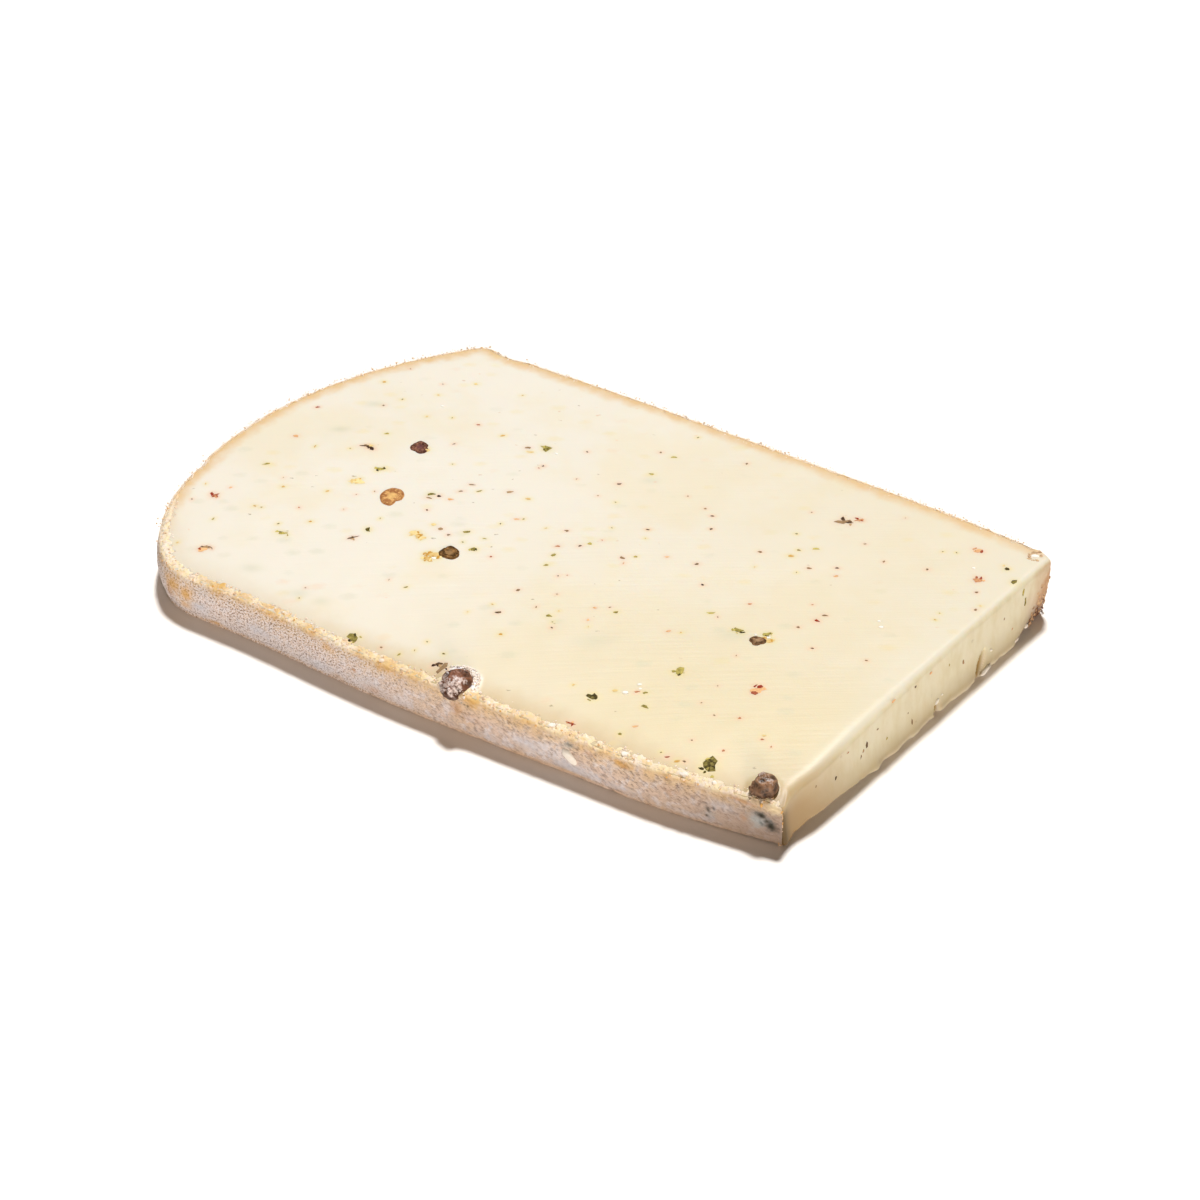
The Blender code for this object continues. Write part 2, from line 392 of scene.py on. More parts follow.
def deselect() -> None:
    """Leaves edit mode with nothing selected."""
    if bpy.context.object is not None and bpy.context.object.mode != "OBJECT":
        bpy.ops.object.mode_set(mode="OBJECT")
    bpy.ops.object.select_all(action="DESELECT")


def activate(piece: bpy.types.Object) -> None:
    """Selects one piece alone."""
    deselect()
    piece.select_set(True)
    bpy.context.view_layer.objects.active = piece


def named(name: str) -> bpy.types.Object:
    """Names the primitive that was just added."""
    piece = bpy.context.object
    piece.name = piece.data.name = name
    return piece


def points_of(piece: bpy.types.Object) -> Points:
    """The places of a piece's vertices."""
    flat = np.empty(len(piece.data.vertices) * 3)
    piece.data.vertices.foreach_get("co", flat)
    return flat.reshape(-1, 3)


def move_points(piece: bpy.types.Object, points: Points) -> None:
    """Puts a piece's vertices in new places."""
    piece.data.vertices.foreach_set("co", np.ascontiguousarray(points, np.float32).ravel())
    piece.data.update()


def normals_of(piece: bpy.types.Object) -> Points:
    """The directions that a piece's vertices face."""
    flat = np.empty(len(piece.data.vertices) * 3, np.float32)
    piece.data.vertex_normals.foreach_get("vector", flat)
    return flat.reshape(-1, 3).astype(float)


def grid_sheet(name: str, columns: int, rows: int, points: Points) -> bpy.types.Object:
    """A grid primitive laid over given places.

    Args:
        name: the piece's name.
        columns: its faces along each row.
        rows: its rows of faces.
        points: its vertices, row by row.

    Returns:
        The new piece.
    """
    deselect()
    bpy.ops.mesh.primitive_grid_add(x_subdivisions=columns, y_subdivisions=rows, size=1)
    piece = named(name)
    move_points(piece, points)
    return piece


def join(pieces: list[bpy.types.Object], name: str) -> bpy.types.Object:
    """Joins pieces into the first one."""
    activate(pieces[0])
    for piece in pieces[1:]:
        piece.select_set(True)
    if len(pieces) > 1:
        bpy.ops.object.join()
    return named(name)


def close_up(piece: bpy.types.Object, gap: float = 1e-6) -> None:
    """Merges doubles, fills what is open, and turns all faces outwards."""
    activate(piece)
    bpy.ops.object.mode_set(mode="EDIT")
    bpy.ops.mesh.select_all(action="SELECT")
    bpy.ops.mesh.remove_doubles(threshold=gap)
    bpy.ops.mesh.select_all(action="DESELECT")
    bpy.ops.mesh.select_mode(type="EDGE")
    bpy.ops.mesh.select_non_manifold(extend=False, use_wire=True, use_boundary=True,
                                     use_multi_face=False, use_non_contiguous=False,
                                     use_verts=False)
    bpy.ops.mesh.edge_face_add()
    bpy.ops.mesh.select_all(action="SELECT")
    bpy.ops.mesh.normals_make_consistent(inside=False)
    bpy.ops.object.mode_set(mode="OBJECT")


def smooth(piece: bpy.types.Object, degrees: float = 180.0) -> None:
    """Shades a piece smooth, but for edges sharper than the angle."""
    activate(piece)
    bpy.ops.object.shade_smooth_by_angle(angle=math.radians(degrees))


def set_amounts(piece: bpy.types.Object, name: str, amounts: Amounts) -> None:
    """Gives each vertex of a piece a number that its material reads."""
    layer = piece.data.attributes.new(name, "FLOAT", "POINT")
    layer.data.foreach_set("value", np.ascontiguousarray(amounts, np.float32))


def finish_piece(piece: bpy.types.Object, material: bpy.types.Material,
                 replaced: tuple[str, ...] = ()) -> None:
    """Dresses a piece, fastens it to the slice and hides the solids that it stands for.

    Args:
        piece: the finished mesh.
        material: its material.
        replaced: the solids that it stands for.
    """
    piece.data.materials.clear()
    piece.data.materials.append(material)
    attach(piece, "root")
    if replaced:
        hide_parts(*replaced)
    log.info("%s: %d faces", piece.name, len(piece.data.polygons))


# ---------------------------------------------------------------------------
# Shader helpers
# ---------------------------------------------------------------------------


class Graph:
    """Adds nodes to one tree and joins them up."""

    def __init__(self, tree: bpy.types.NodeTree) -> None:
        """Keeps the tree."""
        self.tree = tree

    def add(self, kind: str, **settings: object) -> bpy.types.Node:
        """A new node with its settings."""
        node = self.tree.nodes.new(kind)
        for name, value in settings.items():
            setattr(node, name, value)
        return node

    def feed(self, socket: bpy.types.NodeSocket, value: object) -> None:
        """Links or sets one input."""
        if isinstance(value, bpy.types.NodeSocket):
            self.tree.links.new(value, socket)
        elif isinstance(value, tuple) and socket.type == "RGBA" and len(value) == 3:
            socket.default_value = (*value, 1.0)
        else:
            socket.default_value = value

    def maths(self, operation: str, *values: object) -> bpy.types.NodeSocket:
        """One sum, clamped to 0 and 1 where its name ends in a plus."""
        node = self.add("ShaderNodeMath", operation=operation.rstrip("+"))
        node.use_clamp = operation.endswith("+")
        for socket, value in zip(node.inputs, values):
            self.feed(socket, value)
        return node.outputs[0]

    def mix(self, share: object, first: object, second: object,
            way: str = "MIX") -> bpy.types.NodeSocket:
        """A blend of two colours."""
        node = self.add("ShaderNodeMix", data_type="RGBA", blend_type=way)
        self.feed(node.inputs["Factor"], share)
        self.feed(node.inputs[6], first)
        self.feed(node.inputs[7], second)
        return node.outputs[2]

    def steps(self, value: object, low: float, high: float, start: float = 0.0,
              end: float = 1.0) -> bpy.types.NodeSocket:
        """A smooth step of a value."""
        node = self.add("ShaderNodeMapRange", interpolation_type="SMOOTHSTEP")
        for name, given in (("Value", value), ("From Min", low), ("From Max", high),
                            ("To Min", start), ("To Max", end)):
            self.feed(node.inputs[name], given)
        return node.outputs["Result"]

    def attribute(self, name: str) -> bpy.types.NodeSocket:
        """A number that the mesh carries."""
        return self.add("ShaderNodeAttribute", attribute_name=name).outputs["Fac"]

    def place(self, turn: Colour = (0, 0, 0), scale: Colour = (1, 1, 1),
              source: object = None) -> bpy.types.NodeSocket:
        """Object coordinates in millimetres, turned and stretched."""
        if source is None:
            source = self.add("ShaderNodeTexCoord").outputs["Object"]
        mapping = self.add("ShaderNodeMapping", vector_type="TEXTURE")
        self.feed(mapping.inputs["Vector"], source)
        mapping.inputs["Rotation"].default_value = [math.radians(angle) for angle in turn]
        mapping.inputs["Scale"].default_value = [MM * part for part in scale]
        return mapping.outputs["Vector"]

    def noise(self, place: object, scale: float = 1.0, detail: float = 2.0, rough: float = 0.5,
              twist: float = 0.0) -> bpy.types.NodeSocket:
        """Noise at a place, about 0.5 on the whole."""
        node = self.add("ShaderNodeTexNoise")
        for name, value in (("Vector", place), ("Scale", scale), ("Detail", detail),
                            ("Roughness", rough), ("Distortion", twist)):
            self.feed(node.inputs[name], value)
        return node.outputs["Fac"]

    def cells(self, place: object, scale: float, feature: str = "F1") -> bpy.types.NodeSocket:
        """Distance in a pattern of cells."""
        node = self.add("ShaderNodeTexVoronoi", feature=feature)
        self.feed(node.inputs["Vector"], place)
        self.feed(node.inputs["Scale"], scale)
        return node.outputs["Distance"]

    def bump(self, height: object, strength: float, distance: float) -> bpy.types.NodeSocket:
        """A normal with fine relief."""
        node = self.add("ShaderNodeBump")
        for name, value in (("Height", height), ("Strength", strength), ("Distance", distance)):
            self.feed(node.inputs[name], value)
        return node.outputs["Normal"]


class ShaderGroup:
    """A node group with named inputs and outputs."""

    def __init__(self, name: str, inputs: dict[str, object], outputs: dict[str, str]) -> None:
        """Makes its sockets, each input with its usual value."""
        self.tree = bpy.data.node_groups.new(name, "ShaderNodeTree")
        for title, value in inputs.items():
            kind = "NodeSocketFloat"
            if isinstance(value, tuple):
                kind = "NodeSocketColor" if len(value) == 4 else "NodeSocketVector"
            socket = self.tree.interface.new_socket(title, in_out="INPUT", socket_type=kind)
            socket.default_value = value
        for title, kind in outputs.items():
            self.tree.interface.new_socket(title, in_out="OUTPUT", socket_type=kind)
        self.graph = Graph(self.tree)
        self.given = self.graph.add("NodeGroupInput").outputs
        self.result = self.graph.add("NodeGroupOutput").inputs

    def put(self, title: str, value: object) -> None:
        """Leads a value out of the group."""
        self.graph.feed(self.result[title], value)


def use_group(graph: Graph, group: bpy.types.NodeTree, **values: object) -> bpy.types.Node:
    """Places a group in a material with its own values."""
    node = graph.add("ShaderNodeGroup", node_tree=group)
    for title, value in values.items():
        graph.feed(node.inputs[title.replace("_", " ")], value)
    return node


def new_material(name: str, roughness: float, specular: float = 0.3,
                 ) -> tuple[bpy.types.Material, Graph, bpy.types.Node]:
    """A plain material, its graph and its shader."""
    material = bpy.data.materials.new(name)
    material.use_nodes = True
    shader = material.node_tree.nodes["Principled BSDF"]
    shader.inputs["Roughness"].default_value = roughness
    shader.inputs["Specular IOR Level"].default_value = specular
    return material, Graph(material.node_tree), shader


def mottle_group() -> bpy.types.NodeTree:
    """Soft uneven colour: two tones blended by noise."""
    group = ShaderGroup("mottle", {"Place": (0.0, 0.0, 0.0), "Base": (0.8, 0.8, 0.8, 1.0),
                                   "Tone": (0.5, 0.5, 0.5, 1.0), "Size": 1.0, "Low": 0.45,
                                   "High": 0.65, "Amount": 0.5},
                        {"Colour": "NodeSocketColor", "Share": "NodeSocketFloat"})
    graph, given = group.graph, group.given
    noise = graph.noise(given["Place"], graph.maths("DIVIDE", 1.0, given["Size"]), 4.0, 0.6)
    share = graph.steps(noise, given["Low"], given["High"])
    share = graph.maths("MULTIPLY", share, given["Amount"])
    group.put("Colour", graph.mix(share, given["Base"], given["Tone"]))
    group.put("Share", share)
    return group.tree


def speck_group() -> bpy.types.NodeTree:
    """Scattered spots: where they are, and a number that is even over each spot."""
    group = ShaderGroup("specks", {"Place": (0.0, 0.0, 0.0), "Spacing": 3.0, "Reach": 0.2,
                                   "Soft": 0.1, "Keep": 0.5},
                        {"Share": "NodeSocketFloat", "Pick": "NodeSocketFloat"})
    graph, given = group.graph, group.given
    wander = graph.add("ShaderNodeVectorMath", operation="ADD")
    graph.feed(wander.inputs[0], given["Place"])
    noise = graph.add("ShaderNodeTexNoise")
    graph.feed(noise.inputs["Vector"], given["Place"])
    noise.inputs["Scale"].default_value = 1.6
    graph.feed(wander.inputs[1], noise.outputs["Color"])
    cell = graph.add("ShaderNodeTexVoronoi", feature="F1")
    graph.feed(cell.inputs["Vector"], wander.outputs[0])
    graph.feed(cell.inputs["Scale"], graph.maths("DIVIDE", 1.0, given["Spacing"]))
    picks = graph.add("ShaderNodeSeparateColor")
    graph.feed(picks.inputs[0], cell.outputs["Color"])
    size = graph.maths("MULTIPLY", given["Reach"], graph.maths("ADD", picks.outputs[1], 0.4))
    past = graph.maths("SUBTRACT", cell.outputs["Distance"], size)
    inside = graph.maths("SUBTRACT+", 1.0, graph.maths("DIVIDE", past, given["Soft"]))
    kept = graph.maths("LESS_THAN", picks.outputs[0], given["Keep"])
    group.put("Share", graph.maths("MULTIPLY", inside, kept))
    group.put("Pick", picks.outputs[2])
    return group.tree


def streak_group() -> bpy.types.NodeTree:
    """Long faint marks that a cutting wire leaves, with fine grain on them."""
    group = ShaderGroup("wire_marks", {"Marks": (0.0, 0.0, 0.0), "Place": (0.0, 0.0, 0.0),
                                       "Fine": 0.4},
                        {"Height": "NodeSocketFloat"})
    graph, given = group.graph, group.given
    marks = graph.noise(given["Marks"], 1.0, 3.0, 0.6)
    fine = graph.maths("MULTIPLY", graph.noise(given["Place"], 3.0, 3.0), given["Fine"])
    group.put("Height", graph.maths("ADD", marks, fine))
    return group.tree


@dataclass(frozen=True)
class Groups:
    """The node groups that the materials share."""

    mottle: bpy.types.NodeTree
    specks: bpy.types.NodeTree
    streaks: bpy.types.NodeTree


@dataclass(frozen=True)
class PasteFinish:
    """The cut cheese: a cream inside that yellows and darkens towards its rind."""

    cream: Colour = tint(226, 219, 205)
    warm: Colour = tint(225, 214, 190)
    honey: Colour = tint(215, 199, 160)
    ochre: Colour = tint(204, 180, 138)
    tan: Colour = tint(216, 180, 130)
    corner: Colour = tint(180, 134, 88)
    corner_low: Colour = tint(108, 74, 56)
    # painted shade on the top and the cut end near the front corner
    front_corner_shade: Colour = tint(172, 146, 106)
    end_cream: Colour = tint(217, 211, 184)
    end_tan: Colour = tint(208, 198, 162)
    # painted shade on the cut end towards the table
    low: Colour = tint(184, 168, 130)
    # painted sheen along the rounded top edge of the cut end
    broad_edge_and_sheen: Colour = tint(212, 212, 202)
    # painted light on the flared foot of the cut end
    foot: Colour = tint(238, 228, 204)
    yellow: Colour = tint(222, 200, 120)
    pink: Colour = tint(226, 182, 146)
    grey_green: Colour = tint(188, 188, 160)
    fleck: Colour = tint(128, 104, 66)
    # the tears' own olive colour, with painted shade deeper inside them
    tear: Colour = tint(154, 124, 66)
    # painted shade in the recess beside the front rind's end
    gap: Colour = tint(96, 78, 48)
    mould: Colour = tint(244, 236, 236)
    roughness: float = 0.42

    def material(self, groups: Groups) -> bpy.types.Material:
        """Builds the material of the paste."""
        material, graph, shader = new_material("cheese_paste", self.roughness)
        place = graph.place()
        colour = self.inside(graph, groups, place)
        colour = self.marked(graph, groups, place, colour)
        colour = self.cut_end(graph, groups, place, colour)
        # Painted shade near the front corner and in the recess by the front rind's end, and partly
        # inside the tears; the halos, deep spots and mould are the paste's own colour.
        for name, tone in (("front_corner_shade", self.front_corner_shade), ("halo_yellow", self.yellow),
                           ("halo_pink", self.pink),
                           ("ghost", self.grey_green), ("mould", self.mould),
                           ("gap", self.gap), ("tear", self.tear)):
            colour = graph.mix(graph.attribute(name), colour, tone)
        graph.feed(shader.inputs["Base Color"], colour)
        along = graph.place(turn=(0, 0, 33), scale=(16.0, 0.7, 4.0))
        height = use_group(graph, groups.streaks, Marks=along, Place=place).outputs["Height"]
        graph.feed(shader.inputs["Normal"], graph.bump(height, 0.25, 0.12 * MM))
        shader.inputs["Subsurface Weight"].default_value = 0.25
        shader.inputs["Subsurface Radius"].default_value = (1.0, 0.6, 0.3)
        shader.inputs["Subsurface Scale"].default_value = 2.0 * MM
        return material

    def inside(self, graph: Graph, groups: Groups, place: object) -> bpy.types.NodeSocket:
        """The even colour of the top, which turns warmer towards the rind."""
        colour = use_group(graph, groups.mottle, Place=place, Base=self.cream, Tone=self.warm,
                           Size=26.0, Amount=0.8).outputs["Colour"]
        colour = graph.mix(graph.attribute("warmth"), colour, self.honey)
        rind = graph.attribute("rind_mm")
        wander = graph.maths("MULTIPLY", graph.noise(place, 0.35, 3.0), 3.0)
        rind = graph.maths("SUBTRACT", graph.maths("ADD", rind, 1.5), wander)
        front = graph.attribute("front_share")
        near_front = graph.maths("MULTIPLY", graph.steps(rind, 7.5, 1.0),
                                 graph.attribute("front_warmth"))
        near_back = graph.maths("MULTIPLY", graph.steps(rind, 4.2, 0.8),
                                graph.maths("SUBTRACT", 1.0, front))
        colour = graph.mix(near_front, colour, self.ochre)
        return graph.mix(near_back, colour, self.tan)

    def marked(self, graph: Graph, groups: Groups, place: object,
               colour: object) -> bpy.types.NodeSocket:
        """Soft spots of herb and spice that lie under the cut, and fine flecks in it."""
        lying = graph.place(turn=(0, 0, 33), scale=(1.7, 1.0, 1.0))
        deep = use_group(graph, groups.specks, Place=lying, Spacing=3.6, Reach=0.10, Soft=0.22,
                         Keep=0.55).outputs
        hue = graph.mix(graph.steps(deep["Pick"], 0.4, 0.45), self.grey_green, self.yellow)
        hue = graph.mix(graph.steps(deep["Pick"], 0.7, 0.75), hue, self.pink)
        colour = graph.mix(graph.maths("MULTIPLY", deep["Share"], 0.24), colour, hue)
        fine = use_group(graph, groups.specks, Place=lying, Spacing=2.3, Reach=0.045, Soft=0.06,
                         Keep=0.34).outputs
        dark = graph.mix(graph.steps(fine["Pick"], 0.5, 0.6), self.fleck, self.pink)
        return graph.mix(graph.maths("MULTIPLY", fine["Share"], 0.6), colour, dark)

    def cut_end(self, graph: Graph, groups: Groups, place: object,
                colour: object) -> bpy.types.NodeSocket:
        """The wire-cut end: drier, darker towards the table by painted shade, pale along its foot by
        painted light, and with a painted sheen along its top edge.
        """
        upright = graph.place(scale=(2.0, 1.2, 2.4))
        face = use_group(graph, groups.mottle, Place=upright, Base=self.end_cream,
                         Tone=self.end_tan, Size=2.2, Low=0.35, High=0.7,
                         Amount=0.8).outputs["Colour"]
        spots = use_group(graph, groups.specks, Place=place, Spacing=3.0, Reach=0.05, Soft=0.1,
                          Keep=0.4).outputs["Share"]
        face = graph.mix(graph.maths("MULTIPLY", spots, 0.3), face, self.fleck)
        # Painted shade on the cut end towards the table.
        low = graph.attribute("low_shade_share")
        face = graph.mix(low, face, self.low)
        # Painted light along the flared foot of the cut end.
        face = graph.mix(graph.attribute("foot_light_share"), face, self.foot)
        # Painted sheen along the rounded top edge of the cut end.
        colour = graph.mix(graph.attribute("edge_sheen_share"), colour, self.broad_edge_and_sheen)
        colour = graph.mix(graph.attribute("end_share"), colour, face)
        crust = graph.mix(graph.maths("MULTIPLY+", low, 1.5), self.corner, self.corner_low)
        return graph.mix(graph.attribute("corner_share"), colour, crust)


@dataclass(frozen=True)
class RindFinish:
    """The natural rind: grey pink, with a print of the cheese cloth and ochre blooms."""

    base: Colour = tint(228, 207, 192)
    sand: Colour = tint(230, 202, 164)
    pale: Colour = tint(236, 230, 232)
    dash: Colour = tint(120, 92, 80)
    gold: Colour = tint(236, 202, 148)
    dim: Colour = tint(150, 130, 116)
    ochre: Colour = tint(228, 178, 96)
    cream: Colour = tint(248, 230, 188)
    crumb: Colour = tint(250, 234, 214)
    frost: Colour = tint(214, 216, 226)
    foot: Colour = tint(236, 202, 158)
    back: Colour = tint(248, 228, 204)
    blue: Colour = tint(176, 184, 186)
    dark: Colour = tint(52, 50, 40)
    tan: Colour = tint(196, 140, 84)
    cap: Colour = tint(146, 104, 72)
    roughness: float = 0.75

    def material(self, groups: Groups) -> bpy.types.Material:
        """Builds the material of the rind."""
        material, graph, shader = new_material("cheese_rind", self.roughness, 0.15)
        place = graph.place()
        colour = self.face(graph, groups, place)
        left, lip = graph.attribute("left_share"), graph.attribute("lip_share")
        wrap = graph.add("ShaderNodeUVMap", uv_map="RindWrap").outputs["UV"]
        fibres = graph.noise(graph.place(turn=(0, 0, -30), scale=(1.1, 0.2, 1.0), source=wrap),
                             1.0, 3.0, 0.7)
        grit = graph.noise(graph.place(source=wrap), 2.6, 2.0, 0.6)
        share = graph.maths("MULTIPLY", graph.attribute("print"), 0.8)
        light = 0.0
        for noise, steps, amount in ((fibres, (0.52, 0.64, 0.42, 0.3), 0.5),
                                     (grit, (0.55, 0.64, 0.53, 0.44),
                                      graph.maths("MULTIPLY", left, 0.95))):
            dark = graph.maths("MULTIPLY", graph.steps(noise, *steps[:2]), amount)
            pale = graph.maths("MULTIPLY", graph.steps(noise, *steps[2:]), amount)
            share, light = graph.maths("ADD", share, dark), graph.maths("ADD", light, pale)
        colour = graph.mix(graph.maths("MULTIPLY+", share, 0.68), colour, self.dash)
        colour = graph.mix(graph.maths("MINIMUM", light, 0.85), colour, self.pale)
        colour = self.lip(graph, groups, place, colour)
        dim = graph.maths("SUBTRACT", 1.0, graph.maths("MULTIPLY", lip, 0.6))
        colour = graph.mix(graph.maths("MULTIPLY", graph.attribute("shade"), dim), colour, self.dim)
        for name, tone in (("frost", self.frost), ("cream", self.cream), ("ochre", self.ochre),
                           ("tan", self.tan), ("blue", self.blue), ("dark", self.dark)):
            colour = graph.mix(graph.attribute(name), colour, tone)
        graph.feed(shader.inputs["Base Color"], colour)
        relief = graph.maths("SUBTRACT", graph.noise(place, 2.5, 3.0), share)
        graph.feed(shader.inputs["Normal"], graph.bump(relief, 0.7, 0.15 * MM))
        return material

    def face(self, graph: Graph, groups: Groups, place: object) -> bpy.types.NodeSocket:
        """Pink, sand and pale patches, a paler lower wall at the left that is partly painted light, and
        an orange tan line along the foot.
        """
        colour = use_group(graph, groups.mottle, Place=place, Base=self.base, Tone=self.sand,
                           Size=7.0, Low=0.45, High=0.65, Amount=0.35).outputs["Colour"]
        colour = use_group(graph, groups.mottle, Place=place, Base=colour, Tone=self.pale,
                           Size=2.2, Low=0.48, High=0.62, Amount=0.75).outputs["Colour"]
        wall = graph.attribute("wall_share")
        uneven = graph.steps(graph.noise(place, 0.5, 3.0), 0.3, 0.6, 0.2, 0.75)
        high = graph.maths("MULTIPLY", graph.steps(wall, 0.6, 1.0), uneven)
        colour = graph.mix(high, colour, self.gold)
        left = graph.attribute("left_share")
        # A paler lower wall at the left: partly the rind's own pale mould, partly painted light that
        # offsets the shade on its downward-facing foot.
        under = graph.maths("MULTIPLY", graph.steps(wall, 0.5, 0.15), graph.maths("MULTIPLY", left, 0.7))
        colour = graph.mix(under, colour, self.pale)
        amount = graph.maths("ADD", graph.maths("MULTIPLY", left, 0.4), 0.4)
        return graph.mix(graph.maths("MULTIPLY", graph.steps(wall, 0.14, 0.02), amount), colour,
                         self.foot)

    def lip(self, graph: Graph, groups: Groups, place: object,
            colour: object) -> bpy.types.NodeSocket:
        """Whitish crumbs on the front lip, and a plain tan edge round the back."""
        band = use_group(graph, groups.mottle, Place=place, Base=self.crumb, Tone=self.cream,
                         Size=1.0, Low=0.42, High=0.55, Amount=1.0).outputs["Colour"]
        band = use_group(graph, groups.mottle, Place=place, Base=band, Tone=self.ochre,
                         Size=2.6, Low=0.54, High=0.66, Amount=0.4).outputs["Colour"]
        plain = use_group(graph, groups.mottle, Place=place, Base=self.back, Tone=self.ochre,
                          Size=1.6, Low=0.46, High=0.6, Amount=0.6).outputs["Colour"]
        band = graph.mix(graph.attribute("front_share"), plain, band)
        colour = graph.mix(graph.attribute("lip_share"), colour, band)
        return graph.mix(graph.attribute("cap_share"), colour, self.cap)


@dataclass(frozen=True)
class SimpleFinish:
    """A grain of one hue that darkens and lightens from piece to piece."""

    name: str
    light: Colour
    dark: Colour
    roughness: float = 0.6
    size: float = 0.6
    spread: float = 1.0

    def material(self) -> bpy.types.Material:
        """Builds the material, whose tone each grain carries."""
        material, graph, shader = new_material(self.name, self.roughness, 0.08)
        place = graph.place()
        noise = graph.noise(place, 1 / self.size, 3.0, 0.6)
        wander = graph.maths("MULTIPLY", graph.maths("SUBTRACT", noise, 0.5), self.spread)
        share = graph.maths("ADD+", graph.attribute("tone"), wander)
        graph.feed(shader.inputs["Base Color"], graph.mix(share, self.light, self.dark))
        graph.feed(shader.inputs["Normal"], graph.bump(noise, 0.4, 0.1 * MM))
        return material


# ---------------------------------------------------------------------------
# Paste
# ---------------------------------------------------------------------------


@dataclass(frozen=True)
class Tear:
    """A leaf-shaped crevice in the cut end, pointed at both ends."""

    y: float
    height: float
    half_width: float
    half_height: float
    depth: float
    lean: float

    def reach(self, points: Points) -> Amounts:
        """0 in the middle of the leaf and 1 on its edge."""
        across, rise = points[:, 1] - self.y, points[:, 2] - self.height
        cos, sin = math.cos(math.radians(self.lean)), math.sin(math.radians(self.lean))
        side = across * cos + rise * sin
        along = rise * cos - across * sin
        return np.hypot(side / self.half_width, along / self.half_height)

    def opening(self, points: Points) -> Amounts:
        """How far it draws the wall in at each point."""
        return self.depth * np.sqrt(np.clip(1 - self.reach(points) ** 2, 0.0, 1.0))


TEARS = (
    Tear(19.0 * MM, 2.2 * MM, 1.2 * MM, 3.4 * MM, 0.8 * MM, -33.0),
    Tear(4.5 * MM, 0.9 * MM, 1.1 * MM, 1.9 * MM, 1.0 * MM, -6.0),
)


